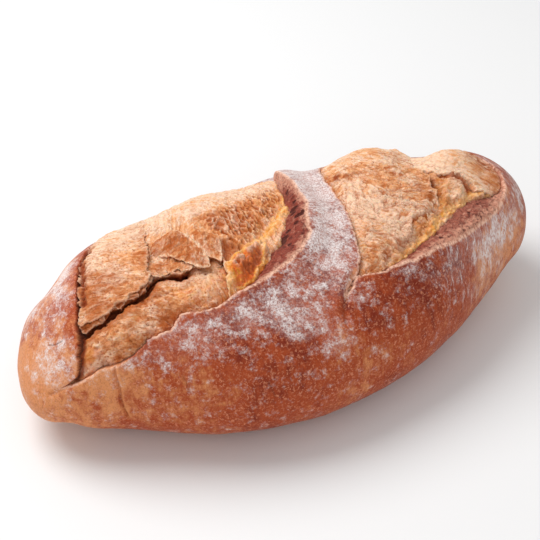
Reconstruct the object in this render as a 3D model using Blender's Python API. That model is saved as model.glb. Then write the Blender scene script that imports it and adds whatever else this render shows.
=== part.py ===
"""Country loaf: a long hearth loaf whose two slashes burst open in the oven.

One solid, in metres, +Z up, standing on its flat base. The loaf lies along X, with its near side
towards -Y. A place on it is named by its station x along the loaf and its roll round it in degrees:
0 on the crest, -90 on the near flank, +90 on the far flank and 180 in the middle of the base.
"""

import bpy
import numpy as np
from mathutils import Vector, noise

# Driving dimensions, in metres.
LENGTH = 0.300
WIDTH = 0.150
HEIGHT = 0.090
FLANK_HEIGHT = 0.034  # the widest line, above the table
BELLY_DEPTH = 0.041  # the underside's reach below that line, before the table cuts it flat

# The form along the loaf, as shares of the sizes above at each station.
STATIONS = (-1.0, -0.8, -0.45, 0.0, 0.45, 0.8, 1.0)
NEAR_SHARES = (1.00, 0.90, 1.07, 1.10, 0.99, 0.88, 1.13)
FAR_SHARES = (1.00, 0.94, 1.04, 1.06, 0.99, 0.93, 1.08)
CREST_SHARES = (1.06, 1.17, 0.98, 0.86, 0.95, 1.18, 1.27)
FLANK_SHARES = (0.90, 1.05, 1.01, 0.97, 1.00, 1.05, 1.30)
UPPER_SQUARENESS = 2.15  # exponent of the section above the widest line: 2 is an ellipse
LOWER_SQUARENESS = 2.25
BELLY_TAPER = 0.72

# Each cut's rim, once round: station (m), roll (deg), then the height of the crust's lip,
# the width of its inner wall and how far it leans over the opening (m).
FIRST_CUT_RIM = (
    (-0.139, -57, 0.0005, 0.0050, 0.000),
    (-0.128, -58, 0.0008, 0.0050, 0.000),
    (-0.113, -56, 0.0010, 0.0050, 0.000),
    (-0.098, -45, 0.0012, 0.0050, 0.000),
    (-0.078, -33, 0.0015, 0.0050, 0.000),
    (-0.058, -32, 0.0015, 0.0050, 0.000),
    (-0.035, -26, 0.0025, 0.0100, 0.000),
    (-0.013, -20, 0.0035, 0.0160, 0.000),
    (0.005, -12, 0.0045, 0.0180, 0.000),
    (0.016, -1, 0.0055, 0.0170, 0.001),
    (0.023, 14, 0.0065, 0.0140, 0.001),
    (0.026, 28, 0.0070, 0.0100, 0.002),
    (0.021, 42, 0.0040, 0.0060, 0.001),
    (0.000, 54, 0.0015, 0.0050, 0.000),
    (-0.045, 57, 0.0010, 0.0050, 0.000),
    (-0.075, 50, 0.0010, 0.0050, 0.000),
    (-0.094, 37, 0.0008, 0.0050, 0.000),
    (-0.109, 19, 0.0008, 0.0050, 0.000),
    (-0.118, -3, 0.0008, 0.0050, 0.000),
    (-0.124, -28, 0.0012, 0.0050, 0.000),
    (-0.130, -50, 0.0012, 0.0050, 0.000),
)
SECOND_CUT_RIM = (
    (0.003, -42, 0.0002, 0.0050, 0.000),
    (0.012, -37, 0.0010, 0.0050, 0.000),
    (0.028, -40, 0.0020, 0.0050, 0.000),
    (0.053, -43, 0.0040, 0.0090, 0.000),
    (0.074, -46, 0.0040, 0.0180, 0.000),
    (0.094, -48, 0.0040, 0.0200, 0.000),
    (0.111, -46, 0.0040, 0.0180, 0.000),
    (0.124, -36, 0.0030, 0.0100, 0.000),
    (0.130, -18, 0.0025, 0.0050, 0.000),
    (0.129, 0, 0.0020, 0.0050, 0.000),
    (0.120, 20, 0.0010, 0.0050, 0.000),
    (0.100, 38, 0.0010, 0.0050, 0.000),
    (0.075, 44, 0.0010, 0.0050, 0.000),
    (0.052, 38, 0.0005, 0.0050, 0.000),
    (0.041, 22, 0.0005, 0.0050, 0.000),
    (0.037, 6, 0.0005, 0.0050, 0.000),
    (0.033, -7, 0.0005, 0.0050, 0.000),
    (0.027, -20, 0.0005, 0.0050, 0.000),
    (0.018, -33, 0.0005, 0.0050, 0.000),
    (0.010, -39, 0.0003, 0.0050, 0.000),
)
LIP_SPREAD = 0.008  # how far a lip's rise runs back into the crust
WALL_DEPTH = 0.012
RIM_SINK = 0.0025  # the crumb's dip where it meets the crust
RIM_SINK_REACH = 0.006

# The torn edge of the upper layer in the first cut; that layer lies on the far side of it.
UPPER_LAYER = (
    (-0.140, -30),
    (-0.123, -26),
    (-0.110, -22),
    (-0.096, -18),
    (-0.084, -12),
    (-0.081, -9),
    (-0.070, -8),
    (-0.058, -13),
    (-0.052, -12),
    (-0.049, -6),
    (-0.043, -8),
    (-0.046, -18),
    (-0.049, -34),
    (0.040, -34),
    (0.040, 90),
    (-0.140, 90),
)
LAYER_STEP = 0.0055
LAYER_EDGE = 0.0012  # half the width over which the step falls

# Ridges (+) and valleys (-) in the crumb: height, half width, then (station, roll) along each.
FIRST_CUT_FOLDS = (
    (0.0050, 0.012, ((-0.126, -45), (-0.113, -40), (-0.098, -32), (-0.081, -25), (-0.060, -21))),
    (-0.0030, 0.003, ((-0.126, -32), (-0.106, -23), (-0.094, -19), (-0.082, -13), (-0.060, -14))),
    (-0.0080, 0.008, ((0.020, 37), (0.010, 18), (-0.011, 1), (-0.033, -7), (-0.044, -14), (-0.050, -24))),
    (-0.0050, 0.009, ((0.022, 28), (0.016, 12), (0.007, -3), (-0.008, -11), (-0.022, -15))),
    (-0.0025, 0.0018, ((-0.081, -9), (-0.077, 0), (-0.070, 13))),
    (0.0040, 0.006, ((-0.018, -9), (-0.028, -13), (-0.040, -19))),
)
SECOND_CUT_FOLDS = (
    (-0.0090, 0.007, ((0.036, -38), (0.054, -35), (0.070, -29), (0.088, -28), (0.108, -25), (0.120, -26))),
    (-0.0050, 0.009, ((0.055, -38), (0.075, -38), (0.098, -37), (0.117, -34))),
    (-0.0060, 0.006, ((0.098, 28), (0.093, 8), (0.089, -8), (0.080, -22))),
    (-0.0015, 0.0025, ((0.098, -6), (0.106, -13), (0.112, -24))),
)
# Rounded swellings of the crumb: station, roll, height, reach.
FIRST_CUT_DOMES = ((-0.045, 22, 0.0015, 0.040),)
SECOND_CUT_DOMES = ((0.058, 5, 0.0060, 0.030), (0.113, 6, 0.0050, 0.017))
CRUST_SWELLS = (
    (0.024, 10, -0.0040, 0.018),  # the saddle of crust between the cuts
    (0.010, -80, -0.0020, 0.022),  # the waist between the two bursts
)
# Swellings and dents of the whole form, in the same way.
BODY_SWELLS = (
    (-0.118, 50, -0.0030, 0.012),
    (-0.048, 56, -0.0040, 0.024),
    (0.010, 44, -0.0045, 0.022),
    (0.050, 50, -0.0055, 0.015),
    (0.077, 36, 0.0035, 0.014),
    (0.108, 31, -0.0080, 0.011),
    (-0.135, -136, -0.0025, 0.009),
    (-0.147, -95, 0.0015, 0.010),
    (0.125, -112, -0.0020, 0.012),
)
CREASES = (
    (-0.0012, 0.0025, ((-0.113, -56), (-0.1135, -80), (-0.112, -120))),
    (-0.0010, 0.0035, ((0.010, -39), (0.003, -42), (-0.003, -48))),
    (-0.0012, 0.0025, ((-0.130, -57), (-0.138, -59), (-0.143, -62))),
)

CRUMB_CRAGS = (0.0012, 0.009)  # height and spacing of the crumb's crags
CRUST_WAVES = (0.0008, 0.030)
CENTRE_OFFSET = (0.0003, 0.0011)  # brings the middle of the finished loaf's box over the origin

SPAN_STEPS = 6  # pieces in each span of a smoothed line
FINE_SEGMENTS = 300
FINE_RINGS = 240
TRIANGLES = 10500

CRUST_COLOUR = (0.52, 0.22, 0.09, 1.0)
CRUST_ROUGHNESS = 0.7


def smooth_value(shares, station):
    """A smooth curve through the shares given at STATIONS, read at each station."""
    knots, values = np.array(STATIONS), np.array(shares)
    slopes = np.gradient(values, knots)
    left = np.clip(np.searchsorted(knots, station, side="right") - 1, 0, len(knots) - 2)
    span = knots[left + 1] - knots[left]
    s = (station - knots[left]) / span
    return (
        (1 + 2 * s) * (1 - s) ** 2 * values[left]
        + s * (1 - s) ** 2 * span * slopes[left]
        + s**2 * (3 - 2 * s) * values[left + 1]
        + s**2 * (s - 1) * span * slopes[left + 1]
    )


def body_points(x, roll):
    """Points of the plain loaf, before its cuts: a squared ellipse at each station."""
    station = np.clip(2 * x / LENGTH, -1, 1)
    taper = np.sqrt(1 - station**2)
    across, up = np.sin(np.radians(roll)), np.cos(np.radians(roll))
    above = up >= 0
    square = np.where(above, UPPER_SQUARENESS, LOWER_SQUARENESS)
    reach = (np.abs(across) ** square + np.abs(up) ** square) ** (-1 / square)
    shares = np.where(across < 0, smooth_value(NEAR_SHARES, station), smooth_value(FAR_SHARES, station))
    crest = (HEIGHT - FLANK_HEIGHT) * taper * smooth_value(CREST_SHARES, station)
    belly = BELLY_DEPTH * taper**BELLY_TAPER
    y = WIDTH / 2 * taper * shares * across * reach
    z = FLANK_HEIGHT * smooth_value(FLANK_SHARES, station) + np.where(above, crest, belly) * up * reach
    return np.stack([x, y, z], axis=-1)


def outward(x, roll):
    """The plain loaf's outward normals, from its slopes along and round it."""
    small_step, small_turn = LENGTH * 1e-4, 0.05
    inner = np.clip(x, -0.4995 * LENGTH, 0.4995 * LENGTH)
    along = body_points(inner + small_step, roll) - body_points(inner - small_step, roll)
    around = body_points(inner, roll + small_turn) - body_points(inner, roll - small_turn)
    normal = np.cross(along, around)
    return normal / np.linalg.norm(normal, axis=-1, keepdims=True)


def smooth_line(rows, closed=False):
    """A finer line through the rows, by Catmull-Rom, each row's last values going along with it."""
    rows = np.array(rows, float)
    ends = (rows[-1:], rows[:2]) if closed else (rows[:1], rows[-1:])
    padded = np.concatenate([ends[0], rows, ends[1]])
    before, start, end, after = padded[:-3], padded[1:-2], padded[2:-1], padded[3:]
    s = (np.arange(SPAN_STEPS) / SPAN_STEPS)[None, :, None]
    before, start, end, after = (p[:, None, :] for p in (before, start, end, after))
    line = 0.5 * (
        2 * start
        + (end - before) * s
        + (2 * before - 5 * start + 4 * end - after) * s**2
        + (3 * start - before - 3 * end + after) * s**3
    )
    line = line.reshape(-1, rows.shape[1])
    return np.concatenate([line, line[:1] if closed else rows[-1:]])


def nearest(line, places):
    """Each place's distance to a line of (station, roll, values...) rows, and the values there."""
    points = body_points(line[:, 0], line[:, 1])
    distance = np.full(len(places), np.inf)
    values = np.zeros((len(places), line.shape[1]))
    for start, end, row, next_row in zip(points[:-1], points[1:], line[:-1], line[1:]):
        along = end - start
        share = np.clip((places - start) @ along / (along @ along), 0, 1)
        gap = np.linalg.norm(places - start - share[:, None] * along, axis=1)
        closer = gap < distance
        distance[closer] = gap[closer]
        values[closer] = row + share[closer, None] * (next_row - row)
    return distance, values


def inside(loop, x, roll):
    """Whether each place lies inside a closed loop of (station, roll) rows."""
    found = np.zeros(len(x), bool)
    for (x0, r0), (x1, r1) in zip(loop[:-1, :2], loop[1:, :2]):
        if r0 != r1:
            crosses = (r0 > roll) != (r1 > roll)
            found ^= crosses & (x < x0 + (roll - r0) * (x1 - x0) / (r1 - r0))
    return found


def rise(gap, reach):
    return np.exp(-((gap / reach) ** 2))


def fall(share):
    """A smooth step from 0 to 1."""
    s = np.clip(share, 0, 1)
    return s * s * (3 - 2 * s)


def folds(rows, places):
    return sum(height * rise(nearest(smooth_line(line), places)[0], width) for height, width, line in rows)


def swellings(rows, places):
    total = np.zeros(len(places))
    for x, roll, height, reach in rows:
        centre = body_points(np.array(x), np.array(roll))
        total += height * rise(np.linalg.norm(places - centre, axis=1), reach)
    return total


def crags(places, height, spacing, octaves):
    rough = [noise.fractal(Vector(p), 1.0, 2.0, octaves) for p in places / spacing]
    return height * np.array(rough)


def upper_layer(x, roll, places):
    """The step up from the first cut's lower crumb to the torn layer that lies over it."""
    edge = np.array(UPPER_LAYER + UPPER_LAYER[:1], float)
    gap = nearest(edge, places)[0] * np.where(inside(edge, x, roll), 1, -1)
    return LAYER_STEP * (fall(0.5 + gap / (2 * LAYER_EDGE)) - 1)


def open_cut(rim_rows, crumb, x, roll, places, relief, lean):
    """Raises the rim's lip, drops its inner wall and fills the opening with crumb."""
    rim = smooth_line(rim_rows, closed=True)
    gap, values = nearest(rim, places)
    lip, wall, curl = values[:, 2], values[:, 3], values[:, 4]
    opened = inside(rim, x, roll)
    crust = relief + lip * rise(gap, LIP_SPREAD)
    inner_wall = relief + lip - (lip + WALL_DEPTH) * fall(gap / wall)
    sunk_crumb = crumb - RIM_SINK * rise(gap, RIM_SINK_REACH)
    leaning = curl * rise(gap, LIP_SPREAD / 2)
    lean += leaning[:, None] * np.array([-1.0, 0.0, 0.0])
    return np.where(opened, np.maximum(inner_wall, sunk_crumb), crust)


def loaf_points(x, roll):
    """Points of the whole loaf: the plain body pushed out by its relief, cut flat by the table."""
    places = body_points(x, roll)
    lean = np.zeros_like(places)
    waves = crags(places, *CRUST_WAVES, octaves=3)
    rough = crags(places, *CRUMB_CRAGS, octaves=3)
    form = swellings(BODY_SWELLS, places)
    relief = swellings(CRUST_SWELLS, places) + folds(CREASES, places) + waves
    first_crumb = (
        upper_layer(x, roll, places)
        + folds(FIRST_CUT_FOLDS, places)
        + swellings(FIRST_CUT_DOMES, places)
        + rough
    )
    second_crumb = folds(SECOND_CUT_FOLDS, places) + swellings(SECOND_CUT_DOMES, places) + rough
    relief = open_cut(FIRST_CUT_RIM, first_crumb, x, roll, places, relief, lean)
    relief = open_cut(SECOND_CUT_RIM, second_crumb, x, roll, places, relief, lean)
    points = places + (form + relief)[:, None] * outward(x, roll) + lean
    points[:, :2] += CENTRE_OFFSET
    points[:, 2] = np.maximum(points[:, 2], 0)
    return points


def crust_material():
    material = bpy.data.materials.new("baked_crust")
    material.use_nodes = True
    shader = material.node_tree.nodes["Principled BSDF"]
    shader.inputs["Base Color"].default_value = CRUST_COLOUR
    shader.inputs["Roughness"].default_value = CRUST_ROUGHNESS
    shader.inputs["Metallic"].default_value = 0.0
    return material


def build_loaf():
    """A sphere whose poles are the loaf's ends, shaped vertex by vertex and then thinned out."""
    bpy.ops.mesh.primitive_uv_sphere_add(segments=FINE_SEGMENTS, ring_count=FINE_RINGS, radius=1)
    loaf = bpy.context.object
    loaf.name = "loaf"
    ball = np.empty(len(loaf.data.vertices) * 3, np.float32)
    loaf.data.vertices.foreach_get("co", ball)
    side, up, along = ball.reshape(-1, 3).astype(float).T
    points = loaf_points(LENGTH / 2 * np.clip(along, -1, 1), np.degrees(np.arctan2(side, up)))
    loaf.data.vertices.foreach_set("co", points.astype(np.float32).ravel())
    loaf.data.update()
    loaf.data.materials.append(crust_material())
    loaf.data.shade_smooth()
    thin_out = loaf.modifiers.new("thin_out", "DECIMATE")
    thin_out.ratio = TRIANGLES / (2 * FINE_SEGMENTS * (FINE_RINGS - 1))
    return loaf


def main():
    for leftover in list(bpy.data.objects):
        bpy.data.objects.remove(leftover)
    build_loaf()


if __name__ == "__main__":
    main()
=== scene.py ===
"""Country loaf: the browned, floury crust and the torn crumb that bursts from its two slashes.

A place on the loaf is named by its station along it, in metres, and its roll round it, in degrees:
0 on the crest, -90 on the near flank, +90 on the far flank and 180 in the middle of the base.
"""

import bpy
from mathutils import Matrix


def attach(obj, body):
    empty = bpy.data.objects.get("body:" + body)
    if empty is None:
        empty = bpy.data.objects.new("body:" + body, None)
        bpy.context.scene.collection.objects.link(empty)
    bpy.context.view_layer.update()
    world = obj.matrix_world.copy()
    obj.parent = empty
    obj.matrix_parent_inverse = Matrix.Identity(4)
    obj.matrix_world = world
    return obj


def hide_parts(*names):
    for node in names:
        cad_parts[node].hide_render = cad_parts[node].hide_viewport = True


bl_info = {
    "name": "Country Loaf",
    "version": (1, 0, 0),
    "blender": (4, 5, 0),
    "location": "3D View > Sidebar > Loaf",
    "description": "A long country loaf with a floury crust and two slashes that burst open",
    "category": "Add Mesh",
}

import math

import bpy
import numpy as np
from bpy.props import FloatProperty, FloatVectorProperty, PointerProperty
from mathutils import Matrix, Vector, noise

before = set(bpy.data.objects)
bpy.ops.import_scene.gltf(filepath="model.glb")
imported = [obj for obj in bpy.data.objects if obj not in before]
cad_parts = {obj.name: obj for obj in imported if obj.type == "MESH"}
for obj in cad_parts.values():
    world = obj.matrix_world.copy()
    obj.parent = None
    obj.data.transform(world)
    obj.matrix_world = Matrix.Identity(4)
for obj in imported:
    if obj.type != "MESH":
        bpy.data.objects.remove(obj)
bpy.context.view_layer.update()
MM = 0.001

# ---------------------------------------------------------------- the plain loaf

# Shares of the width, the height and the widest line's height, at stations from end to end.
STATIONS = (-1.0, -0.8, -0.45, 0.0, 0.45, 0.8, 1.0)
NEAR_SHARES = (1.0, 0.9, 1.07, 1.1, 0.99, 0.88, 1.13)
FAR_SHARES = (1.0, 0.94, 1.04, 1.06, 0.99, 0.93, 1.08)
CREST_SHARES = (1.06, 1.17, 0.98, 0.86, 0.95, 1.18, 1.27)
FLANK_SHARES = (0.9, 1.05, 1.01, 0.97, 1.0, 1.05, 1.3)
UPPER_SQUARENESS = 2.15
LOWER_SQUARENESS = 2.25
BELLY_TAPER = 0.72
CENTRE_OFFSET = (0.0003, 0.0011)

# Swellings and dents: station, roll, height, reach. Those of the body move its crumb too.
BODY_SWELLS = (
    (-0.118, 50, -0.003, 0.012), (-0.048, 56, -0.004, 0.024), (0.01, 44, -0.0045, 0.022),
    (0.05, 50, -0.0055, 0.015), (0.077, 36, 0.003, 0.013), (0.0885, 13, -0.0042, 0.011),
    (0.108, 31, -0.008, 0.011), (-0.135, -136, -0.0025, 0.009), (-0.147, -95, 0.0015, 0.01),
    (0.125, -112, -0.002, 0.012),
)
CRUST_SWELLS = (
    (0.089, 46, -0.003, 0.013), (0.024, 10, -0.004, 0.018), (0.01, -80, -0.002, 0.022),
    (-0.006, 53, -0.004, 0.02),
)
EAR_SWELLS = ((-0.045, 22, 0.0008, 0.04), (-0.06, 2, -0.001, 0.014))
DOME_SWELLS = ((0.06, 9, 0.0042, 0.025),)
BUMP_SWELLS = ((0.11, 8, 0.0058, 0.014),)
# Creases and cracks in the crust: height, half width, then (station, roll) along each.
CREASES = (
    (-0.0017, 0.0008, ((-0.1148, -56), (-0.1158, -62), (-0.1154, -72), (-0.1158, -82), (-0.1135, -98))),
    (0.0005, 0.0012, ((-0.1138, -55), (-0.1146, -64), (-0.1142, -82), (-0.1122, -96))),
    (-0.0016, 0.0014, ((0.012, -37), (0.006, -41), (0.0, -47), (-0.002, -53))),
    (0.0012, 0.003, ((0.009, -33), (0.002, -38), (-0.004, -45))),
    (-0.0012, 0.0012, ((-0.13, -57), (-0.138, -59), (-0.143, -62))),
)
CRACKS = (
    (-0.0005, 0.0004, ((-0.136, -12), (-0.134, -17), (-0.131, -20))),
    (-0.0005, 0.0004, ((-0.051, -72), (-0.05, -76), (-0.049, -81))),
    (-0.0004, 0.0004, ((-0.088, -66), (-0.087, -71), (-0.087, -75))),
    (-0.0004, 0.0004, ((-0.006, -24), (-0.002, -27), (0.001, -33))),
)
# Where the crust is stretched pale along a crease.
STRETCHED = (
    ((-0.1138, -55), (-0.1148, -62), (-0.1144, -72), (-0.1148, -82), (-0.1124, -98)),
    ((0.015, -34), (0.008, -38), (0.003, -43)),
)

# Each cut's rim, once round: station, roll, the lip's height, and where they aren't thin and upright,
# its inner wall's width and its lean.
THIN_WALL = 0.0012
FIRST_CUT_RIM = (
    (-0.139, -57, 0.0005), (-0.133, -58, 0.0006), (-0.128, -58, 0.0008), (-0.121, -56, 0.0009),
    (-0.113, -56, 0.0012), (-0.104, -51, 0.001), (-0.098, -45, 0.0012), (-0.092, -42, 0.001),
    (-0.086, -40, 0.0012), (-0.078, -33, 0.0016, 0.0014), (-0.068, -33, 0.0015, 0.0016),
    (-0.058, -32, 0.0018, 0.003), (-0.049, -29, 0.002, 0.004), (-0.04, -28, 0.0025, 0.007),
    (-0.032, -26, 0.0025, 0.011), (-0.024, -24.5, 0.003, 0.0165), (-0.016, -22.5, 0.0035, 0.0225),
    (-0.008, -19.5, 0.004, 0.028), (-0.001, -17, 0.0045, 0.03), (0.004, -14, 0.005, 0.03),
    (0.008, -9, 0.005, 0.027, 0.001), (0.012, -4, 0.0055, 0.024, 0.001), (0.017, 2, 0.006, 0.022, 0.001),
    (0.02, 10, 0.0062, 0.019, 0.001), (0.022, 19, 0.0064, 0.015, 0.001), (0.024, 28, 0.006, 0.012, 0.002),
    (0.027, 38, 0.0048, 0.007, 0.003), (0.026, 44, -0.001, 0.002), (0.012, 52, -0.002),
    (-0.045, 57, -0.001), (-0.075, 50, -0.001), (-0.094, 37, 0.0), (-0.1, 30, 0.0006), (-0.109, 19, 0.001),
    (-0.115, 5, 0.001), (-0.118, -3, 0.0008), (-0.1225, -16, 0.001), (-0.125, -28, 0.0008),
    (-0.1288, -42, 0.0008), (-0.1308, -51, 0.0008), (-0.135, -55, 0.0006),
)
SECOND_CUT_RIM = (
    (0.003, -42, 0.0002), (0.012, -37, 0.001), (0.018, -38, 0.0015), (0.028, -40, 0.002, 0.002),
    (0.038, -41, 0.003, 0.006), (0.05, -43, 0.0035, 0.011), (0.063, -44, 0.004, 0.016),
    (0.076, -46, 0.004, 0.021), (0.092, -47, 0.004, 0.026), (0.104, -47, 0.004, 0.026),
    (0.114, -45, 0.004, 0.02), (0.12, -41, 0.0035, 0.012), (0.1245, -36, 0.003, 0.005),
    (0.128, -28, 0.0026, 0.0014), (0.13, -18, 0.002), (0.129, 0, 0.0014), (0.12, 20, 0.0008),
    (0.1, 38, 0.0002), (0.075, 44, 0.0), (0.052, 38, 0.0002), (0.041, 22, 0.0005), (0.039, 15, 0.0005),
    (0.037, 6, 0.0005), (0.035, -1, 0.0005), (0.033, -7, 0.0005), (0.03, -14, 0.0005), (0.027, -20, 0.0005),
    (0.022, -29, 0.0005), (0.018, -33, 0.0005), (0.01, -39, 0.0003),
)
# How crumbly each rim's inner wall is.
RIMS = {"first_rim": 0.0005, "second_rim": 0.0012}
LIP_SPREAD = 0.008
WALL_DEPTH = 0.012
# The crust's slow waves: their height and their length.
CRUST_WAVES = (0.0008, 0.03)
# Holes in the inner walls: station, roll, depth, reach.
WALL_PITS = (
    (0.0107, 5, -0.002, 0.0019), (0.0077, 2, -0.0018, 0.0015), (0.0072, -2, -0.0018, 0.0015),
    (0.0092, -3, -0.0016, 0.0012), (-0.0052, -8, -0.0018, 0.0015), (-0.0102, -9, -0.0032, 0.003),
    (0.0238, 17, -0.0016, 0.0012), (0.0226, 13, -0.0016, 0.001), (-0.0017, -6, -0.0016, 0.0012),
    (0.0145, 9, -0.0016, 0.001), (0.012, 15, -0.0014, 0.0009), (-0.008, -14, -0.0014, 0.001),
    (0.0112, -2, -0.0016, 0.0011), (0.0037, -5, -0.0016, 0.0012), (0.017, 18, -0.0012, 0.0009),
    (0.095, -38, -0.0012, 0.0009), (0.104, -36, -0.0012, 0.0008), (0.07, -40, -0.0012, 0.0009),
)

# The lower roll: ridges (+) and valleys (-) as height, half width, then (station, roll) along each.
LOWER_FOLDS = (
    (0.0024, 0.011, ((-0.126, -46), (-0.113, -41), (-0.098, -34), (-0.081, -27), (-0.06, -22))),
    (-0.0012, 0.0019, ((-0.1232, -25), (-0.1252, -33), (-0.1275, -42), (-0.1295, -51), (-0.133, -55))),
    (-0.0016, 0.006, ((-0.121, -52), (-0.106, -46), (-0.092, -37), (-0.077, -30), (-0.06, -29))),
    (-0.0014, 0.0018, ((-0.093, -24), (-0.085, -21), (-0.076, -20), (-0.064, -19))),
)
# Its brown front, where the crumb is drawn into upright threads: partly browned, partly painted shade on the
# front face.
LOWER_FRONT = (
    (-0.088, -33), (-0.0818, -29), (-0.0729, -26), (-0.0619, -25), (-0.054, -24), (-0.052, -28),
    (-0.06, -32), (-0.07, -34), (-0.08, -36), (-0.09, -38),
)
# Lines on it that are pale, golden or pitted.
LOWER_PALE = ((-0.116, -46), (-0.108, -38), (-0.1, -32))
LOWER_START = ((-0.125, -53), (-0.119, -51))
LOWER_GOLD = ((-0.044, -17), (-0.054, -19), (-0.066, -22))
LOWER_PITS = ((-0.0905, -21), (-0.086, -19.5), (-0.085, -23), (-0.08, -19))
# The seam between the left layer and its lip.
LEFT_SEAM = (
    (-0.0938, 34), (-0.0972, 31), (-0.1036, 24), (-0.1062, 19), (-0.1087, 13), (-0.1108, 7), (-0.1125, 2),
    (-0.1142, -2), (-0.1158, -8),
)
# The ear: its golden strand, its valley, the lump at its foot with the lump's parts, a hollow and the comb.
EAR_STRANDS = (
    (0.0285, 42), (0.0271, 37), (0.0182, 22), (0.0117, 13), (0.0052, 8), (-0.0002, 5), (-0.0092, -1),
    (-0.0147, -3), (-0.0216, -6), (-0.0276, -8), (-0.0341, -10), (-0.0405, -13), (-0.0465, -18),
    (-0.051, -24),
)
EAR_VALLEY = (
    (0.0275, 42), (0.0235, 33), (0.017, 22), (0.011, 13), (0.003, 6), (-0.0047, 1), (-0.012, -4),
    (-0.018, -9), (-0.022, -15), (-0.033, -22), (-0.045, -26),
)
EAR_LUMP = ((-0.02, -10), (-0.0255, -13), (-0.032, -15.5), (-0.039, -18.5), (-0.0435, -21))
# The lump's top ridge: raised, and painted pale as a highlight.
LUMP_TOP = ((-0.0225, -8), (-0.0266, -9.5), (-0.0316, -12), (-0.0371, -14), (-0.04, -15.5))
LUMP_CORE = ((-0.024, -12), (-0.027, -14), (-0.0306, -15.5), (-0.0345, -17))
LUMP_EDGE = (
    (-0.018, -9), (-0.0221, -13), (-0.0253, -17), (-0.0291, -18), (-0.033, -21.5), (-0.037, -23),
    (-0.043, -25),
)
LUMP_TIP = ((-0.0455, -20), (-0.0485, -22.5), (-0.0515, -25))
EAR_HOLLOW = ((-0.0371, -1), (-0.0321, -3), (-0.0296, -8), (-0.0346, -9.5), (-0.0415, -13), (-0.0435, -10))
COMB = (
    (-0.036, 16), (-0.021, 18), (-0.009, 20), (0.001, 22), (0.012, 26), (0.016, 24), (0.008, 11), (0.0, 6),
    (-0.01, 2), (-0.02, -3), (-0.028, -7), (-0.033, -6), (-0.036, 0),
)
# The second cut's golden strand, and its hollow's lump, ridge and hole.
SECOND_STRANDS = (
    (0.116, -33), (0.111, -28), (0.104, -28), (0.0963, -30), (0.0838, -30), (0.0759, -31), (0.069, -35),
    (0.0599, -36), (0.05, -38), (0.0425, -39), (0.037, -40),
)
SECOND_LUMP = ((0.099, -12), (0.102, -18), (0.099, -22), (0.096, -25))
SECOND_RIDGE = ((0.0945, -17), (0.0893, -20), (0.083, -25))
SECOND_HOLE = ((0.0868, -7), (0.0862, -12), (0.086, -18))
# A thin leaf stands off the dome's side, over a hollow painted brown as its shade.
DOME_LEAF = ((0.0662, -24), (0.0638, -22.5), (0.0612, -24), (0.059, -26.5), (0.0572, -29), (0.0548, -33))
DOME_HOLLOW = (
    (0.067, -24), (0.0638, -22.5), (0.0612, -24), (0.059, -26.5), (0.0572, -29), (0.0548, -33),
    (0.0545, -37), (0.064, -37), (0.076, -33), (0.078, -24),
)
# The small tear beside the band, and the pale and the browned lines of the dome.
DOME_TEAR = ((0.039, 16), (0.043, 14), (0.048, 10), (0.0535, 11))
DOME_PALE = ((0.0445, 0), (0.0475, -8), (0.049, -16), (0.053, -24), (0.056, -28))
DOME_RIM_PALE = ((0.0365, -6), (0.035, -15), (0.032, -23))
DOME_BROWN = (
    ((0.06, 12), (0.067, 7), (0.072, 1)),
    ((0.0868, 4), (0.0845, -6), (0.0823, -14), (0.078, -20)),
    ((0.034, -32), (0.04, -33), (0.045, -36)),
)
# The gash under the bump, its lower lip, and the toasted line on the bump.
GASH = ((0.0943, -7), (0.1, -11), (0.1037, -15), (0.105, -21), (0.109, -26), (0.114, -30))
GASH_LIP = ((0.102, -29), (0.1042, -29), (0.1102, -29), (0.1147, -30))
BUMP_TOAST = ((0.118, 26), (0.1216, 18), (0.1231, 10), (0.1241, -1), (0.1261, -10))

# The torn edges, once round: station, roll.
TORN_EDGES = {
    "left": (
        (-0.1218, -21), (-0.117, -23), (-0.111, -24), (-0.108, -22), (-0.104, -20), (-0.099, -19.5),
        (-0.094, -17), (-0.088, -14.5), (-0.0835, -12), (-0.081, -7), (-0.078, -1), (-0.0735, 7),
        (-0.07, 14), (-0.066, 22), (-0.06, 36), (-0.055, 66), (-0.08, 62), (-0.094, 50), (-0.0985, 33),
        (-0.1075, 20), (-0.1138, 6), (-0.1165, -3), (-0.12, -15),
    ),
    "ledge": (
        (-0.1225, -25), (-0.118, -26.5), (-0.1145, -26), (-0.111, -23.5), (-0.107, -22), (-0.103, -22),
        (-0.098, -19.5), (-0.0945, -19), (-0.09, -16.5), (-0.0855, -14.5), (-0.082, -10), (-0.084, -5),
        (-0.092, -7), (-0.102, -11), (-0.112, -14), (-0.1215, -16),
    ),
    "ear": (
        (-0.092, -8), (-0.084, -8), (-0.078, -8), (-0.071, -8), (-0.066, -11), (-0.061, -10), (-0.056, -12),
        (-0.051, -10), (-0.048, -8), (-0.045, -7), (-0.0435, -11), (-0.0455, -17), (-0.05, -24),
        (-0.054, -38), (-0.03, -34), (-0.002, -26), (0.016, -12), (0.028, 2), (0.034, 20), (0.036, 40),
        (0.03, 58), (-0.01, 66), (-0.045, 68), (-0.075, 62), (-0.085, 30),
    ),
    "dome": (
        (0.012, -47), (0.03, -48), (0.042, -47), (0.0495, -42), (0.056, -39), (0.064, -37), (0.0709, -33),
        (0.077, -30), (0.0815, -25), (0.0833, -19), (0.0843, -13), (0.086, -6), (0.0888, 2), (0.09, 12),
        (0.093, 30), (0.087, 50), (0.06, 52), (0.04, 42), (0.032, 20), (0.029, 0), (0.02, -22),
        (0.008, -36),
    ),
    "bump": (
        (0.0885, 8), (0.0898, 2), (0.0933, -4), (0.0978, -8), (0.1022, -11), (0.105, -14), (0.1066, -19),
        (0.1085, -24), (0.112, -29), (0.1162, -33), (0.126, -42), (0.138, -28), (0.14, 0), (0.13, 28),
        (0.104, 50), (0.091, 34),
    ),
}
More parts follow.
